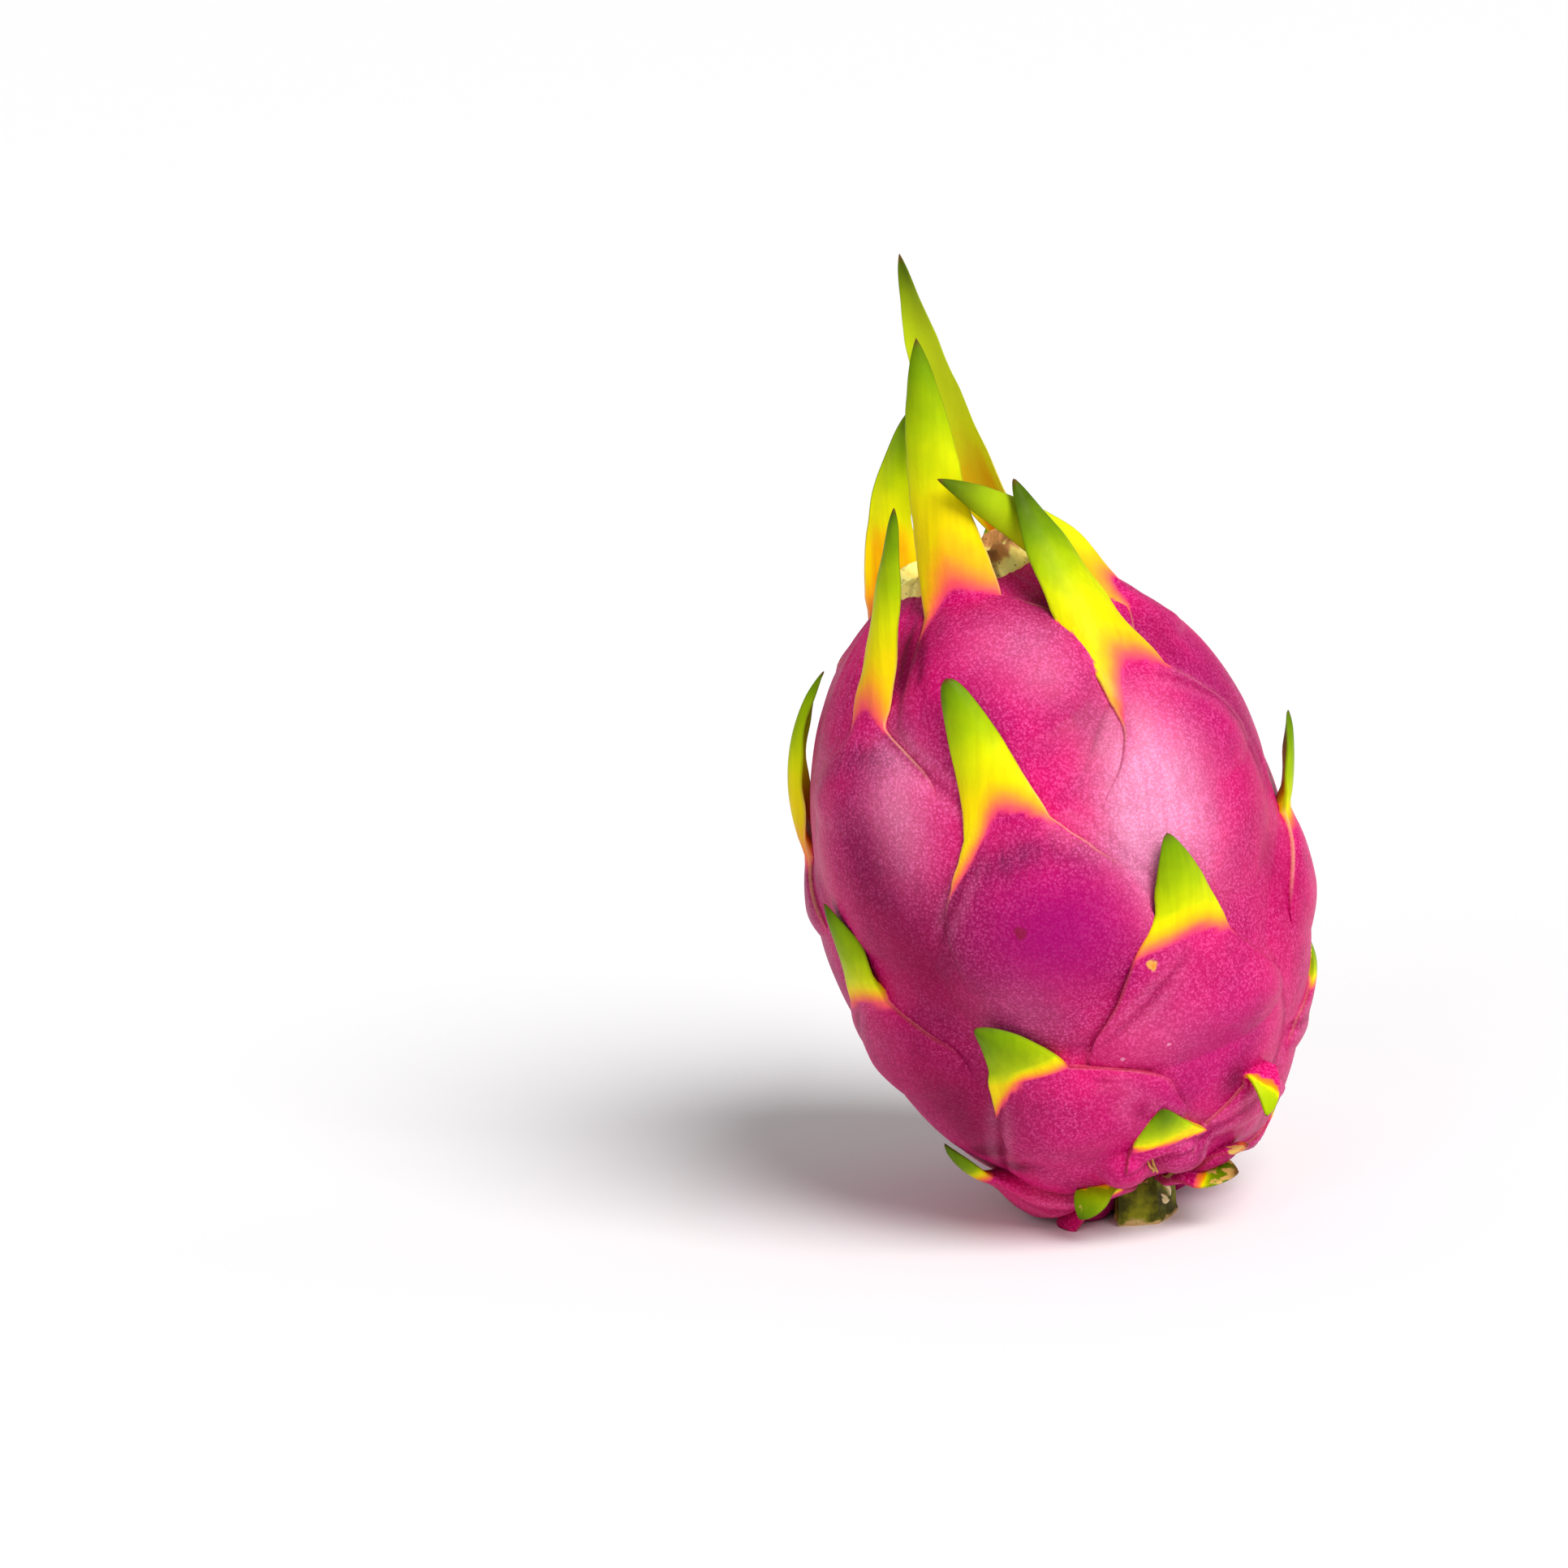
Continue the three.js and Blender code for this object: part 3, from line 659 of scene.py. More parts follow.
@dataclass
class ScaleShell:
    """The closed body of one scale, with its root sunk well into the skin.

    Lengths are in millimetres. The share `early` of the ripening is over soon after the neck.
    For blades of some lengths, `fades` says how long that takes, `waits` at what share of the
    blade the rest starts, and `paces` how slowly it does.
    """

    skin: Skin
    scale: Scale
    order: int
    sides: int = 40
    thickness: float = 2.2
    thinning: float = 0.55
    tip_share: float = 0.15
    ripple: float = 0.2
    ripple_pace: float = 0.55
    unevenness: float = 0.03
    root: float = -2.0
    skirt_share: float = 0.4
    underside: float = 4.5
    steps: int = 200
    shield_gap: float = 0.9
    blade_gap: float = 1.15
    early: float = 0.42
    fades: tuple[Pair, ...] = ((8, 1.2), (14, 2.6), (26, 6.5), (45, 11.5))
    waits: tuple[Pair, ...] = ((18, 0), (28, 0.3))
    paces: tuple[Pair, ...] = ((12, 0.5), (26, 1.15))

    def half_widths(self, along: np.ndarray) -> np.ndarray:
        """Left and right half widths at a distance above the neck, or below it if negative."""
        scale = self.scale
        up = np.clip(along / scale.length, 0, 1)
        down = -np.minimum(along, 0)
        hold = 0.5 * scale.plate
        close = np.clip((down - hold) / (scale.plate - hold), 0, 1) ** 2.2
        close = np.sqrt(np.maximum(1 - close, 0.02))
        uneven = 1 + self.unevenness * np.array([
            noise.noise((value * 0.35, self.order * 7.3, 0.0)) for value in along])
        widths = []
        for (side, reach, late), skirt in zip((scale.left, scale.right), scale.skirt):
            blade = scale.neck * (1 - up ** scale.taper) ** scale.tip
            blade = blade + skirt * smooth(-along, -self.skirt_share * scale.length, 0)
            flare = np.sin(np.clip(down / reach, 0, 1) ** late * math.pi / 2)
            shield = blend(scale.neck + skirt, side, flare) * close
            widths.append(np.where(along > 0, blade, shield) * uneven)
        return np.array(widths)

    def directions(self, along: np.ndarray) -> tuple[np.ndarray, np.ndarray, np.ndarray]:
        """Forward, across and outward-facing directions of the blade."""
        turn = self.skin.turns[self.order]
        _, _, d_rise, d_radius = self.skin.profile(self.skin.phis[self.order])
        part = np.clip(along / self.scale.length, 0, 1)
        rest = math.atan2(d_radius, d_rise)
        opening = blend(rest, np.radians(blend(*self.scale.opening, part)),
                        smooth(along, 0, self.scale.bend))
        lean = np.radians(blend(*self.scale.lean, part)) * smooth(along, -2, self.scale.bend)
        out, around = self.skin.outward(turn), self.skin.around(turn)
        up = arms(np.cos(opening), self.skin.axis) + arms(np.sin(opening), out)
        face = arms(np.cos(opening), out) - arms(np.sin(opening), self.skin.axis)
        forward = up * np.cos(lean)[:, None] + arms(np.sin(lean), around)
        across = arms(np.cos(lean), around) - up * np.sin(lean)[:, None]
        twist = np.radians(self.scale.twist) * smooth(along, 0, 3 * self.scale.bend)[:, None]
        return (forward, across * np.cos(twist) - face * np.sin(twist),
                face * np.cos(twist) + across * np.sin(twist))

    def midrib(self, along: np.ndarray) -> np.ndarray:
        """Points of the middle line, walked up from the neck in short steps."""
        turn, phi = self.skin.turns[self.order], self.skin.phis[self.order]
        start = self.skin.point(np.array(turn), np.array(phi), np.array(self.scale.ledge))
        step = self.scale.length / self.steps
        walk = self.directions((np.arange(self.steps) + 0.5) * step)[0] * step
        path = start + np.vstack([np.zeros(3), np.cumsum(walk, axis=0)])
        measure = np.arange(self.steps + 1) * step
        above = np.stack([np.interp(along, measure, path[:, k]) for k in range(3)], axis=-1)
        below = start + np.minimum(along, 0)[:, None] * self.directions(np.zeros(1))[0]
        return np.where(along[:, None] > 0, above, below)

    def stations(self) -> np.ndarray:
        """Distances above the neck at which a section is made."""
        count = max(12, int(self.scale.plate / self.shield_gap))
        shield = -self.scale.plate * np.linspace(1, 0, count, endpoint=False) ** 0.8
        count = max(14, int(self.scale.length / self.blade_gap))
        blade = self.scale.length * (1 - (1 - np.arange(count) / count) ** 1.35)
        return np.concatenate([shield, blade])

    def ripeness(self, along: np.ndarray, edge: np.ndarray) -> np.ndarray:
        """How far the colour has gone from the skin's pink (0) to the tip's green (1)."""
        length = self.scale.length
        run = np.where(edge < 0, *self.scale.run)
        border = blend(self.scale.flame * length, -run, np.abs(edge) ** 1.7)
        fade = read_off(length, self.fades) * self.scale.soft
        begun = np.clip((along - border) / fade, 0, 1) ** 0.85
        wait = read_off(length, self.waits)
        late = np.clip((along / length - wait) / (1 - wait), 0, 1) ** read_off(length, self.paces)
        return begun * (self.early + (1 - self.early) * late) * self.scale.green

    def build(self) -> bpy.types.Object:
        """Make the scale's closed body."""
        scale = self.scale
        along = self.stations()
        angle = -TAU * np.arange(self.sides) / self.sides
        part = np.clip(along / scale.length, 0, 1)
        widths = self.half_widths(along)
        width = np.where(np.cos(angle) < 0, widths[0][:, None], widths[1][:, None])
        depth = self.thickness * (1 - self.thinning * part) * np.sqrt(
            np.minimum((1 - part) / self.tip_share, 1))
        x = width * np.cos(angle)
        z = np.outer(depth / 2, np.sin(angle))
        sink = blend(self.root, scale.ledge, smooth(along, -scale.plate, -scale.plate * 0.45))
        neck = self.skin.phis[self.order]
        phi = neck + along / self.skin.stretch(neck + along / 2 / self.skin.stretch(neck))
        phi = np.repeat(np.clip(phi, 0.02, math.pi - 0.02)[:, None], self.sides, axis=1)
        turn = self.skin.turns[self.order] + x / np.maximum(
            self.skin.profile(phi)[1], self.skin.least_radius)
        on_skin = self.skin.point(turn, phi, sink[:, None] + np.where(
            z < 0, z * self.underside, z))
        _, across, face = self.directions(along)
        rib = self.midrib(along)
        away = smooth(along, 1, 12)[:, None]
        fold = scale.channel * width * np.cos(angle) ** 2 * away
        wave = np.sin(along * self.ripple_pace + self.order)[:, None] * np.cos(angle) ** 3
        on_blade = (rib[:, None, :] + x[..., None] * across[:, None, :]
                    + (z - fold + self.ripple * wave * away)[..., None] * face[:, None, :])
        free = smooth(along, -2, scale.bend)[:, None]
        rings = blend(on_skin, on_blade, free[..., None])
        top = self.midrib(np.array([scale.length]))[0]
        form = Form.loft(rings, rings[0].mean(axis=0), top)
        self.dress(form, along, np.cos(angle), np.sin(angle) < -0.05, turn, phi, free)
        return form.build(f"scale_{self.order}")

    def dress(self, form: Form, along: np.ndarray, edge: np.ndarray, inner: np.ndarray,
              turn: np.ndarray, phi: np.ndarray, free: np.ndarray) -> None:
        """Give the scale's points the values that its colours depend on.

        Args:
            form: The scale's body.
            along: Distance of each section above the neck.
            edge: -1 at the left margin, 0 at the midrib and 1 at the right margin, for each
                point of a section.
            inner: Whether each point of a section is on the inner face.
            turn: Angle about the axis of each point.
            phi: Angle from the stem pole of each point.
            free: 0 where the scale lies on the skin and 1 where it is a free blade.
        """
        scale, shape = self.scale, turn.shape
        rows, edge, free = (np.broadcast_to(part, shape) for part in (along[:, None], edge, free))
        part, side = np.clip(rows / scale.length, 0, 1), np.abs(edge)
        low = 3.0 if scale.margin is Margin.PLAIN else -12.0
        lit = smooth(part, 0.1, 0.4) * smooth(-part, -1.0, -0.7)
        masks = {
            "ripe": (self.ripeness(rows, edge), 1),
            "edge": (smooth(side, 0.955, 1.0) * smooth(rows, low, low + 9), 1),
            "inner": (inner * free * smooth(-side, -0.82, -0.6), 0),
            "glow": (scale.glow * free * lit, 0),
            "dry": (scale.withered * smooth(part, 0.15, 0.8), scale.withered),
            "blade": (free, 1),
            "brown": (smooth(part, 0.96 - 0.4 * scale.withered, 1.0), 1),
            "russet": (np.full(shape, scale.margin.value), scale.margin.value),
        }
        for kind, (values, tip) in masks.items():
            form.give(kind, values, 0, tip)
        for kind, values in self.skin.tints(turn, phi).items():
            if kind == "tone":
                values = np.full(shape, self.skin.tones[self.order])
            elif kind != "rise":
                values = values * (1 - free)
            form.give(kind, values, values[0, 0], values[-1, -1])


@dataclass
class Fruit:
    """The skin with its scales, as one grown body."""

    skin: Skin
    rings: int = 190
    sides: int = 288
    sharp: float = 48.0
    pit: Pair = (9.4, 11.0)  # radii at which the skin under the flower scar turns dry
    pit_brown: float = 0.45
    strand_steps: int = 26
    strand_flat: float = 1.6

    def body(self) -> bpy.types.Object:
        """Make the skin without its scales."""
        phi = math.pi * np.arange(1, self.rings) / self.rings
        turn = TAU * np.arange(self.sides) / self.sides
        phi, turn = np.meshgrid(phi, turn, indexing="ij")
        rings = self.skin.point(turn, phi, np.zeros(phi.shape))
        ends = [self.skin.point(np.array(0.0), np.array(end), np.array(0.0))
                for end in (1e-4, math.pi - 1e-4)]
        form = Form.loft(rings, *ends)
        tints = self.skin.tints(turn, phi)
        full, none = self.pit
        pit = smooth(-self.skin.profile(phi)[1], -none, -full) * (phi > math.pi / 2)
        tints.update(dry=pit, brown=self.pit_brown * pit)
        for kind in BLADE_VALUES + SKIN_VALUES:
            values = tints.get(kind, np.zeros(phi.shape))
            form.give(kind, values, values[0, 0], values[-1, -1])
        return form.build("fruit_skin")

    def strands(self) -> list[bpy.types.Object]:
        """Dry threads on the skin, above the cut stem and near the crown."""
        made = []
        for number, strand in enumerate(STRANDS):
            share = np.linspace(0, 1, self.strand_steps)
            turn = blend(strand.start[0], strand.end[0], share)
            turn = np.radians(turn + strand.sway * np.sin(share * 6 + number * 1.7))
            rise = blend(strand.start[1], strand.end[1], share)
            height = strand.lift * (1 + np.sin(share * 7 + number) ** 2)
            path = self.skin.point(turn, self.skin.phi_at(rise), height)
            form = Form.tube(path, strand.radius, self.strand_flat)
            shown = {"blade": 1.0, "dry": 1.0, "brown": strand.brown}
            for kind in BLADE_VALUES + SKIN_VALUES:
                form.values[kind] = np.full(len(form.points), shown.get(kind, 0.0))
            made.append(form.build(f"strand_{number}"))
        return made

    def build(self) -> bpy.types.Object:
        """Grow the scales into the skin and set the whole on the floor."""
        body = self.body()
        shells = [ScaleShell(self.skin, scale, order).build()
                  for order, scale in enumerate(SCALES)]
        merge(body, shells + self.strands())
        mesh = body.data
        places = np.empty(len(mesh.vertices) * 3)
        mesh.vertices.foreach_get("co", places)
        places[2::3] = np.maximum(places[2::3], 0.0)
        mesh.vertices.foreach_set("co", places)
        mesh.set_sharp_from_angle(angle=math.radians(self.sharp))
        mesh.update()
        LOG.info("fruit_skin: %d faces", len(mesh.polygons))
        return body


# ---- Stem stub and flower scar ----


@dataclass
class StemStub:
    """The cut piece of green stem that the fruit stands on.

    Its foot has corners on the floor, and each spread is a share of the height with how wide the
    stub is there. A wrinkle is its height, pitch and seed.
    """

    foot: tuple[Pair, ...] = ((-5.2, -6.4), (-1.8, -6.5), (1.6, -6.2), (3.6, -3), (5.2, 0.4),
                              (4.6, 4.6), (1.2, 6.6), (-2.8, 6), (-5, 2.6), (-5.6, -2))
    peels: tuple[tuple[Triple, ...], ...] = (
        ((0.8, -5.5, 9.2), (2.2, -5.9, 7.8), (3.4, -5.4, 6.0), (3.6, -5.2, 4.6)),
        ((2.2, -6.2, 5.2), (2.9, -6.0, 4.4), (2.6, -6.4, 3.6)))
    spreads: tuple[Pair, ...] = ((0, 0.98), (0.06, 1.04), (0.14, 0.98), (0.5, 0.97), (0.8, 0.84),
                                 (1, 0.62))
    wrinkles: tuple[Triple, ...] = ((0.16, 1.6, 2.0),)
    sunk: float = 0.1
    curl_radius: float = 0.34
    curl_steps: int = 36
    height: float = 10.8
    sides: int = 160
    levels: int = 40
    sharp: float = 34.0

    def build(self) -> bpy.types.Object:
        """Make the stub."""
        foot = np.array(self.foot)
        middle = foot.mean(axis=0)
        share = np.arange(self.sides) / self.sides * len(foot)
        index = share.astype(int)
        outline = blend(foot[index], foot[(index + 1) % len(foot)], (share % 1)[:, None]) - middle
        heights = np.linspace(0, 1, self.levels)
        spread = read_off(heights, self.spreads)[:, None, None]
        rings = np.zeros((self.levels, self.sides, 3))
        rings[..., :2] = middle + outline * spread
        rings[..., 2] = heights[:, None] * self.height
        wrinkle = lumps_at(rings * np.array([1, 1, 0.4]), self.wrinkles)
        outwards = rings[..., :2] - middle
        outwards /= np.linalg.norm(outwards, axis=-1, keepdims=True)
        rings[..., :2] += outwards * (wrinkle - self.sunk)[..., None]
        form = Form.loft(rings, np.array([*middle, 0.0]), np.array([*middle, self.height]))
        form.give("rise", np.repeat(heights[:, None], self.sides, axis=1), 0, 1)
        form.give("peel", np.zeros(rings.shape[:2]))
        made = form.build("cut_stem")
        merge(made, [self.curl(number, path) for number, path in enumerate(self.peels)])
        made.data.set_sharp_from_angle(angle=math.radians(self.sharp))
        return made

    def curl(self, number: int, path: tuple[Triple, ...]) -> bpy.types.Object:
        """Make one dry curl of peeled rind."""
        corners = np.array(path)
        share = np.linspace(0, len(path) - 1, self.curl_steps)
        line = np.stack([np.interp(share, np.arange(len(path)), corners[:, k])
                         for k in range(3)], axis=-1)
        for _ in range(6):
            line[1:-1] = (line[:-2] + 2 * line[1:-1] + line[2:]) / 4
        form = Form.tube(line, self.curl_radius, 2.0)
        form.values["rise"] = np.full(len(form.points), 0.6)
        form.values["peel"] = np.ones(len(form.points))
        return form.build(f"curl_{number}")


@dataclass
class FlowerScar:
    """The withered collar that the flower has left at the crown.

    Its profile is radii and heights from the outside in. The lip is its size, level and reach,
    and a fold is its height, pitch and seed.
    """

    skin: Skin
    profile: tuple[Pair, ...] = ((10.4, 106.6), (12.2, 108.6), (12.6, 111.4), (12, 113.6),
                                 (10, 113.9), (8, 112.2), (4, 111))
    base: float = 106.6
    dish: float = 110.8
    rim: Pair = (108.5, 113.0)
    lip: Triple = (1.2, 108.8, 1.2)
    folds: tuple[Triple, ...] = ((1.1, 3.1, 4.0), (0.6, 1.3, 8.0))
    tilt: float = 0.12
    sides: int = 220
    levels: int = 60

    def place(self, radius: np.ndarray, height: np.ndarray, turn: np.ndarray) -> np.ndarray:
        """Points at a radius and height about the fruit's axis, on the tilted collar."""
        slope = self.tilt * radius * np.sin(turn)
        return (np.array(self.skin.stem_pole) + (height + slope)[..., None] * self.skin.axis
                + radius[..., None] * self.skin.outward(turn))

    def build(self) -> bpy.types.Object:
        """Make the collar."""
        profile = np.array(self.profile)
        lengths = np.hypot(*np.diff(profile, axis=0).T)
        measure = np.concatenate([[0], np.cumsum(lengths)])
        where = np.linspace(0, measure[-1], self.levels)
        radius = np.interp(where, measure, profile[:, 0])
        height = np.interp(where, measure, profile[:, 1])
        turn = TAU * np.arange(self.sides) / self.sides
        radius, turn = np.meshgrid(radius, turn, indexing="ij")
        height = np.repeat(height[:, None], self.sides, axis=1)
        rim = smooth(height, *self.rim)
        around = np.stack([np.cos(turn) * 12, np.sin(turn) * 12, height * 0.25], axis=-1)
        folds = lumps_at(around, self.folds)
        bulge = 0.45 * np.sin(5 * turn) + 0.22 * np.cos(3 * turn)
        size, level, reach = self.lip
        lip = size * np.exp(-((height - level) / reach) ** 2)
        radius = radius + (bulge + folds * 0.6) * rim + lip
        height = height + (bulge + folds) * rim
        ends = [self.place(np.array(0.0), np.array(end), np.array(0.0))
                for end in (self.base, self.dish)]
        form = Form.loft(self.place(radius, height, turn), *ends)
        form.give("rise", np.clip((height - self.base) / 7.5, 0, 1), 0, 0.3)
        form.give("fold", np.clip(folds * 0.5 + 0.5, 0, 1), 0, 0.5)
        form.give("crust", smooth(np.sin(turn), -0.2, 0.4), 1, 1)
        return form.build("withered_flower")


# ---- Node helpers ----


@dataclass(frozen=True)
class Reading:
    """An output of a node. One that is a number takes part in sums as numbers do."""

    sheet: "Sheet"
    socket: bpy.types.NodeSocket

    def __add__(self, other: object) -> "Reading":
        """Add something to it."""
        return self.sheet.math("ADD", self, other)

    def __mul__(self, other: object) -> "Reading":
        """Multiply it by something."""
        return self.sheet.math("MULTIPLY", self, other)

    def __rsub__(self, other: object) -> "Reading":
        """Take it away from something."""
        return self.sheet.math("SUBTRACT", other, self)


class Sheet:
    """A node tree that is filled by short calls."""

    def __init__(self, tree: bpy.types.NodeTree) -> None:
        """Start on a tree."""
        self.tree = tree

    def node(self, kind: str, inputs: dict | None = None, **settings: object) -> bpy.types.Node:
        """Add a node.

        Args:
            kind: The node's type.
            inputs: A number, colour or reading for its sockets, by name or number.
            settings: Values for its own properties.

        Returns:
            The new node.
        """
        made = self.tree.nodes.new(kind)
        for name, value in settings.items():
            setattr(made, name, value)
        self.join(made, inputs or {})
        return made

    def join(self, node: bpy.types.Node, inputs: dict) -> None:
        """Set sockets of a node to numbers or colours, or join readings to them."""
        for name, value in inputs.items():
            if isinstance(value, Reading):
                self.tree.links.new(value.socket, node.inputs[name])
            else:
                node.inputs[name].default_value = value

    def read(self, output: str | int, kind: str, inputs: dict | None = None,
             **settings: object) -> Reading:
        """Add a node and take one of its outputs."""
        return Reading(self, self.node(kind, inputs, **settings).outputs[output])

    def value(self, name: str) -> Reading:
        """One of the mesh's own values."""
        return self.read("Fac", "ShaderNodeAttribute", attribute_name=name)

    def place(self) -> Reading:
        """The place on the object."""
        return self.read("Object", "ShaderNodeTexCoord")

    def math(self, operation: str, *values: object) -> Reading:
        """A sum on two values."""
        return self.read(0, "ShaderNodeMath", dict(enumerate(values)), operation=operation)

    def span(self, value: object, low: float, high: float, to_low: float = 0.0,
             to_high: float = 1.0) -> Reading:
        """Move a value smoothly from one span to another."""
        names = ("Value", "From Min", "From Max", "To Min", "To Max")
        return self.read("Result", "ShaderNodeMapRange",
                         dict(zip(names, (value, low, high, to_low, to_high))),
                         interpolation_type="SMOOTHSTEP")

    def mix(self, share: object, first: object, second: object, how: str = "MIX") -> Reading:
        """Mix two colours."""
        return self.read(2, "ShaderNodeMix", {0: share, 6: first, 7: second}, data_type="RGBA",
                         blend_type=how, clamp_factor=True)

    def noise(self, place: Reading, pitch: float | Reading, detail: float = 3.0,
              rough: float = 0.55) -> Reading:
        """Noise with a pitch in metres."""
        scale = self.math("DIVIDE", 1.0, pitch) if isinstance(pitch, Reading) else 1 / pitch
        return self.read("Fac", "ShaderNodeTexNoise", {"Vector": place, "Scale": scale,
                                                       "Detail": detail, "Roughness": rough})

    def wander(self, place: Reading, pitch: float, cut: float, low: float, high: float,
               detail: float = 3.0) -> Reading:
        """Noise whose middle part, between a cut and 1 less the cut, runs from low to high."""
        return self.span(self.noise(place, pitch, detail), cut, 1 - cut, low, high)

    def dots(self, place: Reading, pitch: float, low: float, high: float) -> Reading:
        """Small round dots, 1 in the middle of each and 0 between them."""
        away = self.read("Distance", "ShaderNodeTexVoronoi", {
            "Vector": place, "Scale": 1 / pitch, "Randomness": 0.85}, feature="F1")
        return self.span(away, high, low)

    def spot(self, place: Reading, middle: Triple, radius: float) -> Reading:
        """An uneven spot round a place given in millimetres."""
        away = self.read("Value", "ShaderNodeVectorMath",
                         {0: place, 1: [part * MM for part in middle]}, operation="DISTANCE")
        ragged = self.wander(place, 0.0012, 0.25, -0.28, 0.28)
        return self.span(self.math("DIVIDE", away, radius * MM) + ragged, 1.15, 0.7)

    def ramp(self, value: Reading, stops: tuple[tuple[float, Colour], ...]) -> Reading:
        """A run of colours."""
        made = self.node("ShaderNodeValToRGB", {"Fac": value})
        band = made.color_ramp.elements
        while len(band) < len(stops):
            band.new(0.5)
        for stop, (where, colour) in zip(band, stops):
            stop.position = where
            stop.color = colour
        return Reading(self, made.outputs["Color"])


class Effects:
    """Node groups that several finishes share: each makes one number of a place and a pitch."""

    def __init__(self, lean: Triple, draw: float = 0.1) -> None:
        """Build each group once.

        Args:
            lean: How the fruit is turned from upright, in degrees.
            draw: How far fibres are drawn out along the fruit.
        """
        tilt = [math.radians(angle) for angle in lean]

        def fibres(sheet: Sheet, place: Reading, pitch: Reading) -> Reading:
            """Fine strands that run along the fruit."""
            drawn = sheet.read("Vector", "ShaderNodeMapping", {
                "Vector": place, "Rotation": tilt, "Scale": (1, 1, draw)}, vector_type="POINT")
            return sheet.noise(drawn, pitch, 2.0, 0.5)

        def mottle(sheet: Sheet, place: Reading, pitch: Reading) -> Reading:
            """Soft uneven patches."""
            return sheet.span(sheet.noise(place, pitch, 4.0, 0.6), 0.36, 0.66)

        self.fibres = self.group("fibres", "Height", fibres)
        self.mottle = self.group("mottle", "Mask", mottle)

    @staticmethod
    def group(name: str, output: str, fill: Callable[[Sheet, Reading, Reading], Reading]
              ) -> bpy.types.NodeTree:
        """Make a group with named sockets.

        Args:
            name: The group's name.
            output: The name of the number that it gives.
            fill: Makes that number on a sheet, from a place and a pitch.

        Returns:
            The group.
        """
        tree = bpy.data.node_groups.new(name, "ShaderNodeTree")
        tree.interface.new_socket("Place", in_out="INPUT", socket_type="NodeSocketVector")
        tree.interface.new_socket("Pitch", in_out="INPUT", socket_type="NodeSocketFloat")
        tree.interface.new_socket(output, in_out="OUTPUT", socket_type="NodeSocketFloat")
        sheet = Sheet(tree)
        given = sheet.node("NodeGroupInput").outputs
        made = fill(sheet, Reading(sheet, given["Place"]), Reading(sheet, given["Pitch"]))
        sheet.node("NodeGroupOutput", {output: made})
        return tree


class Surface(Sheet):
    """The sheet of a material on one Principled shader."""

    def __init__(self, name: str, roughness: float, specular: float) -> None:
        """Start the material."""
        self.material = bpy.data.materials.new(name)
        self.material.use_nodes = True
        self.material.node_tree.nodes.clear()
        super().__init__(self.material.node_tree)
        self.shader = self.node("ShaderNodeBsdfPrincipled", {"Roughness": roughness,
                                                             "Specular IOR Level": specular})
        shown = Reading(self, self.shader.outputs["BSDF"])
        self.node("ShaderNodeOutputMaterial", {"Surface": shown})

    def effect(self, group: bpy.types.NodeTree, place: Reading, pitch: float) -> Reading:
        """A shared group with its own pitch, in metres."""
        return self.read(0, "ShaderNodeGroup", {"Place": place, "Pitch": pitch},
                         node_tree=group)

    def finish(self, colour: object, height: Reading | None = None, strength: float = 0.0,
               distance: float = 0.0) -> bpy.types.Material:
        """Give the shader its colour, and a fine relief if there is one.

        Args:
            colour: A colour, or a reading of one.
            height: The relief, as a reading.
            strength: How much of the relief shows.
            distance: How high it is, in metres.

        Returns:
            The material.
        """
        self.join(self.shader, {"Base Color": colour})
        if height:
            bump = self.read("Normal", "ShaderNodeBump", {
                "Strength": strength, "Distance": distance, "Height": height})
            self.join(self.shader, {"Normal": bump})
        return self.material


# ---- Finishes ----


@dataclass(frozen=True)
class Mark:
    """A small uneven spot on the skin, with its middle and radius in millimetres."""

    middle: Triple
    radius: float
    strength: float
    colour: Colour


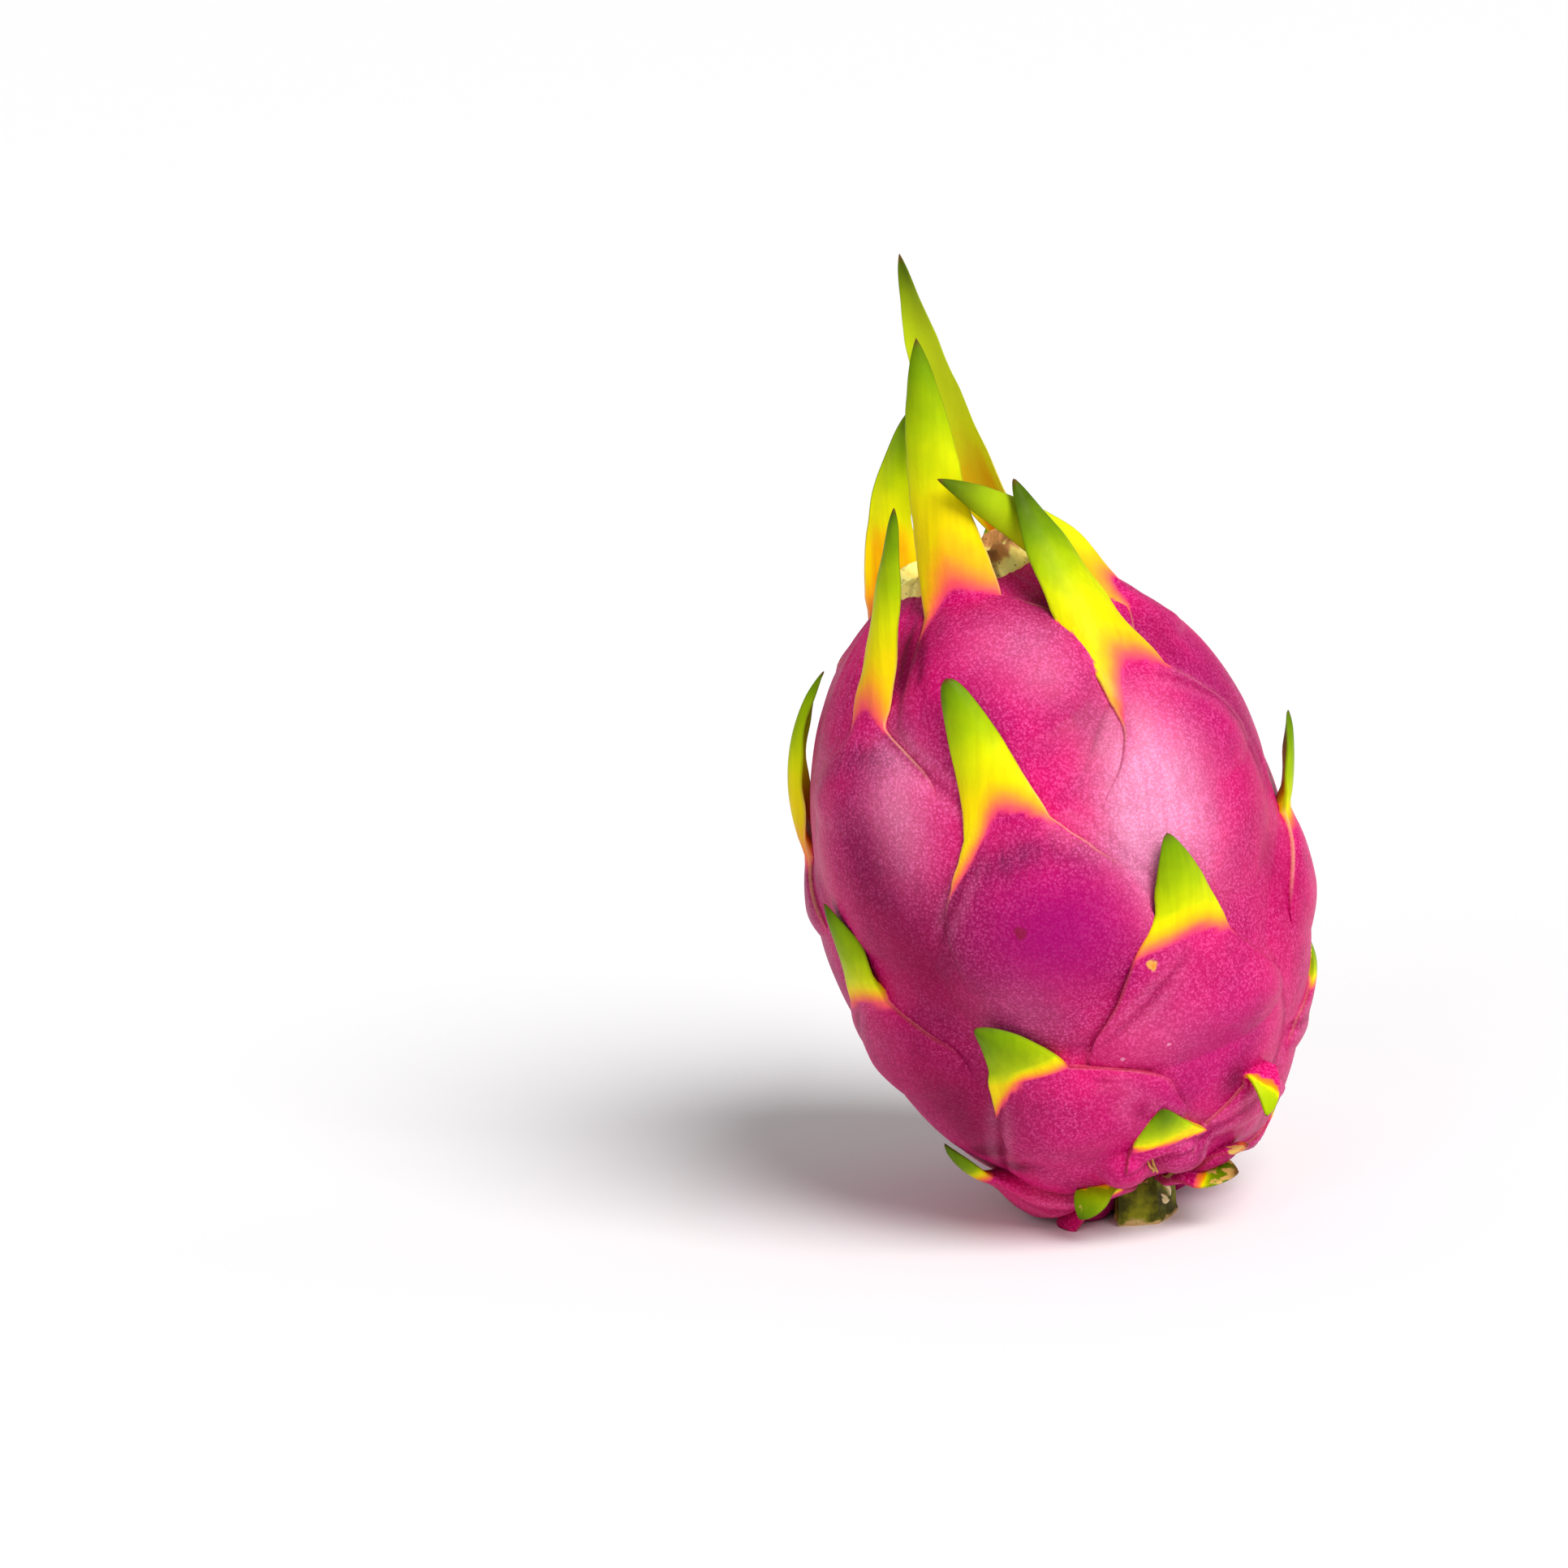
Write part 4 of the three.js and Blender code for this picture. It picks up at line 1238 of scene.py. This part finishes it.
@dataclass(frozen=True)
class SkinFinish:
    """Waxy magenta skin whose scales turn through yellow to green. Pitches are in metres."""

    rose: Colour = srgb(218, 0, 104)
    magenta: Colour = srgb(164, 0, 86)
    heart: Colour = srgb(156, 0, 98)
    dusk: Colour = srgb(98, 8, 60)
    # Painted shade in the creases, partly deep skin colour.
    crease: Colour = srgb(92, 0, 34)
    shade: Colour = srgb(84, 0, 36)
    freckle: Colour = srgb(255, 106, 186)
    # Painted highlight and wax on the skin; two small pale spots take this colour too.
    wax_and_highlight: Colour = srgb(248, 178, 212)
    cream: Colour = srgb(248, 196, 130)
    russet: Colour = srgb(140, 62, 20)
    olive: Colour = srgb(92, 96, 14)
    inside: Colour = srgb(226, 116, 4)
    bark: Colour = srgb(100, 62, 28)
    straw: Colour = srgb(212, 172, 90)
    scab: Colour = srgb(216, 158, 70)
    bruise: Colour = srgb(130, 20, 50)
    # Painted light coming through a blade.
    glow: Colour = srgb(222, 236, 30)
    turning: tuple[tuple[float, Colour], ...] = (
        (0.00, srgb(232, 56, 110)), (0.07, srgb(240, 84, 92)), (0.16, srgb(246, 128, 62)),
        (0.27, srgb(246, 176, 24)), (0.42, srgb(236, 210, 0)), (0.56, srgb(210, 214, 0)),
        (0.70, srgb(164, 188, 0)), (0.86, srgb(114, 148, 0)), (1.00, srgb(72, 98, 4)))
    marks: tuple[Mark, ...] = (
        Mark((0.5, -32.2, 51.0), 1.0, 0.95, scab), Mark((0.7, -32.3, 50.9), 0.5, 0.6, inside),
        Mark((-20.1, -34.3, 58.0), 1.05, 0.75, bruise), Mark((17.6, -23.3, 38.1), 0.6, 0.6, scab),
        Mark((-4.7, -29.9, 35.2), 0.42, 0.5, wax_and_highlight), Mark((2.8, -30.3, 37.2), 0.42, 0.5, wax_and_highlight))
    patch_pitch: float = 0.016
    strand_pitch: float = 0.0016
    leaf_pitch: float = 0.0013
    pimple_pitch: float = 0.00068
    speck_pitch: float = 0.0004
    squiggle_pitch: float = 0.00052

    def grain(self, sheet: Surface, place: Reading) -> Reading:
        """The fine pale grain of the skin: specks, larger pimples in places, and squiggles."""
        shown = sheet.span(sheet.noise(place, 0.011), 0.36, 0.62)
        specks = sheet.dots(place, self.speck_pitch, 0.14, 0.46)
        pimples = sheet.dots(place, self.pimple_pitch, 0.12, 0.46) * shown
        squiggles = sheet.span(sheet.noise(place, self.squiggle_pitch, 1.0, 0.5), 0.5, 0.66)
        return specks * 0.5 + sheet.math("MAXIMUM", pimples, squiggles * 0.45)

    def skin(self, sheet: Surface, place: Reading, patches: Reading, strands: Reading
             ) -> Reading:
        """Colour of the skin between the blades.

        Args:
            sheet: The material's sheet.
            place: The place on the object.
            patches: Soft uneven patches.
            strands: Fine strands along the fruit.

        Returns:
            The colour.
        """
        heart, shade = sheet.value("heart"), sheet.value("shade")
        colour = sheet.mix(patches * 0.6 + sheet.value("tone") * 0.4, self.rose, self.magenta)
        colour = sheet.mix(heart, colour, self.heart)
        dusk = sheet.value("dusk") * sheet.span(strands, 0.3, 0.7, 0.6, 1)
        colour = sheet.mix(dusk * 0.75, colour, self.dusk)
        # Painted shadow and deep colour in the darker places.
        colour = sheet.mix(shade * 0.8, colour, self.shade)
        grain = self.grain(sheet, place)
        # Painted highlight and wax in the paler places.
        wax_and_highlight = sheet.value("wax_and_highlight") * sheet.span(strands, 0.7, 0.3, 0.8, 1)
        wax_and_highlight = wax_and_highlight * sheet.span(grain, 0.0, 0.8, 0.54, 0.82)
        colour = sheet.mix(wax_and_highlight, colour, self.wax_and_highlight)
        calm = 1 - sheet.math("MAXIMUM", heart * 0.82, shade * 0.8)
        colour = sheet.mix(sheet.span(grain, 0.3, 0.0) * (calm * 0.12), colour, self.shade)
        colour = sheet.mix(grain * calm * 0.4, colour, self.freckle)
        # Painted shade in the creases, partly deep skin colour.
        return sheet.mix(sheet.value("crease") * 0.42, colour, self.crease)

    def leaf(self, sheet: Surface, place: Reading, strands: Reading) -> Reading:
        """Colour of the blades, from the neck's coral to the tip's green."""
        ripe = sheet.value("ripe")
        ripe = ripe + sheet.wander(place, 0.006, 0.25, -0.03, 0.03, 2.0) * sheet.span(
            ripe, 0.0, 0.1)
        leaf = sheet.ramp(ripe, self.turning)
        leaf = sheet.mix(1.0, leaf, sheet.span(strands, 0.25, 0.75, 0.92, 1.04), "MULTIPLY")
        # Painted light coming through the blade.
        leaf = sheet.mix(sheet.value("glow"), leaf, self.glow)
        low = sheet.value("inner") * sheet.span(ripe, 0.56, 0.36, 0.0, 0.7)
        return sheet.mix(low, leaf, self.inside)

    def build(self, effects: Effects) -> bpy.types.Material:
        """Make the material."""
        sheet = Surface("dragon_fruit_skin", 0.42, 0.06)
        place = sheet.place()
        blade, ripe, dry = sheet.value("blade"), sheet.value("ripe"), sheet.value("dry")
        strands = sheet.effect(effects.fibres, place, self.strand_pitch)
        patches = sheet.effect(effects.mottle, place, self.patch_pitch)
        fibres = sheet.effect(effects.fibres, place, self.leaf_pitch)
        colour = sheet.mix(sheet.span(ripe, 0.0, 0.07), self.skin(sheet, place, patches, strands),
                           self.leaf(sheet, place, fibres))
        rim = sheet.mix(sheet.value("russet"), self.cream, self.russet)
        rim = sheet.mix(sheet.span(ripe, 0.3, 0.55), rim, self.olive)
        colour = sheet.mix(sheet.value("edge") * 0.45, colour, rim)
        worn = dry + sheet.wander(place, 0.0022, 0.3, -0.5, 0.4) * sheet.span(dry, 0.0, 0.1)
        colour = sheet.mix(sheet.span(worn, 0.35, 0.6), colour, self.straw)
        colour = sheet.mix(sheet.value("brown"), colour, self.bark)
        for mark in self.marks:
            spot = sheet.spot(place, mark.middle, mark.radius)
            colour = sheet.mix(spot * mark.strength, colour, mark.colour)

        skin_only = 1 - blade
        wax = skin_only * (0.2 - sheet.value("heart") * 0.18) * (1 - sheet.value("shade"))
        sheet.join(sheet.shader, {
            "Roughness": sheet.wander(place, 0.003, 0.3, 0.42, 0.54, 4.0),
            "Coat Weight": wax, "Coat Roughness": 0.34})
        height = sheet.dots(place, self.pimple_pitch, 0.1, 0.6) * (skin_only * 0.5)
        height = height + sheet.noise(place, 0.0008, 2.0) * 0.4
        height = height + strands * sheet.span(blade, 0, 1, 0.8, 1.2)
        return sheet.finish(colour, height, 0.4, 0.0003)


@dataclass(frozen=True)
class StemFinish:
    """Dull olive cactus stem with a dry tan edge where it was cut."""

    green: Colour = srgb(136, 142, 18)
    dark: Colour = srgb(62, 64, 4)
    cut: Colour = srgb(206, 172, 112)
    peel: Colour = srgb(232, 222, 168)

    def build(self, effects: Effects) -> bpy.types.Material:
        """Make the material."""
        sheet = Surface("cut_stem_green", 0.6, 0.15)
        place = sheet.place()
        colour = sheet.mix(sheet.effect(effects.mottle, place, 0.004), self.green, self.dark)
        low = sheet.value("rise") + sheet.wander(place, 0.002, 0.3, -0.05, 0.05)
        colour = sheet.mix(sheet.span(low, 0.11, 0.03), colour, self.cut)
        colour = sheet.mix(sheet.value("peel"), colour, self.peel)
        return sheet.finish(colour, sheet.effect(effects.fibres, place, 0.0009), 0.6, 0.0004)


@dataclass(frozen=True)
class ScarFinish:
    """Dry, wrinkled tissue, cream on its ridges and brown in its folds."""

    cream: Colour = srgb(255, 246, 148)
    tan: Colour = srgb(252, 212, 88)
    crust: Colour = srgb(204, 142, 84)
    brown: Colour = srgb(96, 58, 24)

    def build(self, effects: Effects) -> bpy.types.Material:
        """Make the material."""
        sheet = Surface("withered_tissue", 0.8, 0.15)
        place = sheet.place()
        patches = sheet.effect(effects.mottle, place, 0.005)
        colour = sheet.mix(patches * 0.6, self.cream, self.tan)
        rise = sheet.value("rise") + sheet.wander(place, 0.004, 0.25, -0.22, 0.22)
        colour = sheet.mix(sheet.span(rise, 0.6, 0.84) * sheet.value("crust"), colour, self.crust)
        pits = sheet.span(sheet.value("fold"), 0.34, 0.12)
        colour = sheet.mix(pits * 0.7, colour, self.brown)
        specks = sheet.dots(place, 0.0013, 0.1, 0.24)
        colour = sheet.mix(specks * 0.6, colour, self.brown)
        # Painted shade at the foot of the collar, under its rim.
        colour = sheet.mix(sheet.span(rise, 0.12, -0.02), colour, self.brown)
        return sheet.finish(colour, sheet.effect(effects.fibres, place, 0.0011), 0.8, 0.0005)


@dataclass(frozen=True)
class FloorFinish:
    """Plain white studio floor."""

    white: Colour = srgb(248, 247, 248)

    def build(self) -> bpy.types.Material:
        """Make the material."""
        return Surface("studio_floor", 0.7, 0.2).finish(self.white)


# ---- Studio ----


@dataclass(frozen=True)
class Lamp:
    """One large soft light, far away."""

    name: str
    azimuth: float
    elevation: float
    strength: float
    softness: float

    def build(self) -> None:
        """Add the light."""
        data = bpy.data.lights.new(self.name, "SUN")
        data.energy = self.strength
        data.angle = math.radians(self.softness)
        lamp = add_object(self.name, data)
        turn, up = math.radians(self.azimuth), math.radians(self.elevation)
        towards = Vector((math.sin(turn) * math.cos(up), -math.cos(turn) * math.cos(up),
                          math.sin(up)))
        lamp.rotation_euler = towards.to_track_quat("Z", "Y").to_euler()
        lamp.location = towards * 2


@dataclass
class Studio:
    """Pale floor, soft lights and the camera.

    Lengths are in millimetres, angles in degrees and the focal length in pixels of the image.
    """

    elevation: float = 12.0
    roll: float = -3.5
    distance: float = 900.0
    focal: float = 6597.0
    image: float = 1932.0
    sensor: float = 36.0
    ambient: float = 0.28
    backdrop: float = 0.87
    anchor: Triple = Skin.stem_pole
    anchor_pixel: Pair = (1426.0, 1475.0)
    lamps: tuple[Lamp, ...] = (
        Lamp("key_right", 36, 46, 3.35, 36),
        Lamp("fill_left", -30, 24, 0.45, 34),
        Lamp("side_right", 88, 26, 0.2, 34),
    )

    def camera(self) -> None:
        """Add the camera."""
        up, roll = math.radians(self.elevation), math.radians(self.roll)
        forward = Vector((0, math.cos(up), -math.sin(up)))
        level_up = Vector((0, math.sin(up), math.cos(up)))
        level_right = Vector((1, 0, 0))
        upward = math.cos(roll) * level_up - math.sin(roll) * level_right
        right = math.cos(roll) * level_right + math.sin(roll) * level_up
        half = self.image / 2
        across = (self.anchor_pixel[0] - half) / self.focal * self.distance
        down = (self.anchor_pixel[1] - half) / self.focal * self.distance
        place = Vector(self.anchor) - forward * self.distance - right * across + upward * down
        data = bpy.data.cameras.new("camera")
        data.sensor_fit = "HORIZONTAL"
        data.sensor_width = self.sensor
        data.lens = self.focal / self.image * self.sensor
        data.clip_start = 0.05
        data.clip_end = 60
        camera = add_object("camera", data)
        axes = Matrix((right, upward, -forward)).transposed().to_4x4()
        camera.matrix_world = Matrix.Translation(place * MM) @ axes
        bpy.context.scene.camera = camera

    def floor(self) -> None:
        """Add the floor."""
        mesh = bpy.data.meshes.new("floor")
        cells = bmesh.new()
        bmesh.ops.create_grid(cells, x_segments=4, y_segments=4, size=8.0)
        cells.to_mesh(mesh)
        cells.free()
        mesh.materials.append(FloorFinish().build())
        floor = add_object("floor", mesh)

    def world(self) -> None:
        """Set the light from all round."""
        world = bpy.data.worlds.new("white_tent")
        world.use_nodes = True
        sheet = Sheet(world.node_tree)
        world.node_tree.nodes.clear()
        seen = sheet.read("Is Camera Ray", "ShaderNodeLightPath")
        back = sheet.read("Background", "ShaderNodeBackground", {
            "Color": (1, 1, 1, 1), "Strength": seen * self.backdrop + self.ambient})
        sheet.node("ShaderNodeOutputWorld", {"Surface": back})
        bpy.context.scene.world = world

    def build(self) -> None:
        """Set up the whole studio."""
        self.camera()
        self.floor()
        self.world()
        for lamp in self.lamps:
            lamp.build()
        bpy.context.scene.view_settings.view_transform = "Standard"


# ---- The whole ----


def finish_piece(made: bpy.types.Object, node: str,
                 material: bpy.types.Material) -> None:
    """Dress a piece and give it its place in the part.

    Args:
        made: The piece.
        node: The plain solid that it stands for.
        material: Its finish.
    """
    made.data.materials.clear()
    made.data.materials.append(material)
    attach(made, "root")
    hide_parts(node)
    LOG.info("%s stands for %s: %d faces", made.name, node, len(made.data.polygons))


def main() -> None:
    """Build the fruit and its studio."""
    Studio().build()
    skin = Skin()
    effects = Effects((skin.lean_back, skin.lean_left, 0.0))
    finish_piece(Fruit(skin).build(), "fruit", SkinFinish().build(effects))
    finish_piece(StemStub().build(), "stem_stub", StemFinish().build(effects))
    finish_piece(FlowerScar(skin).build(), "flower_scar",
                 ScarFinish().build(effects))


if __name__ == "__main__":
    logging.basicConfig(level=logging.INFO, format="%(name)s: %(message)s")
    main()
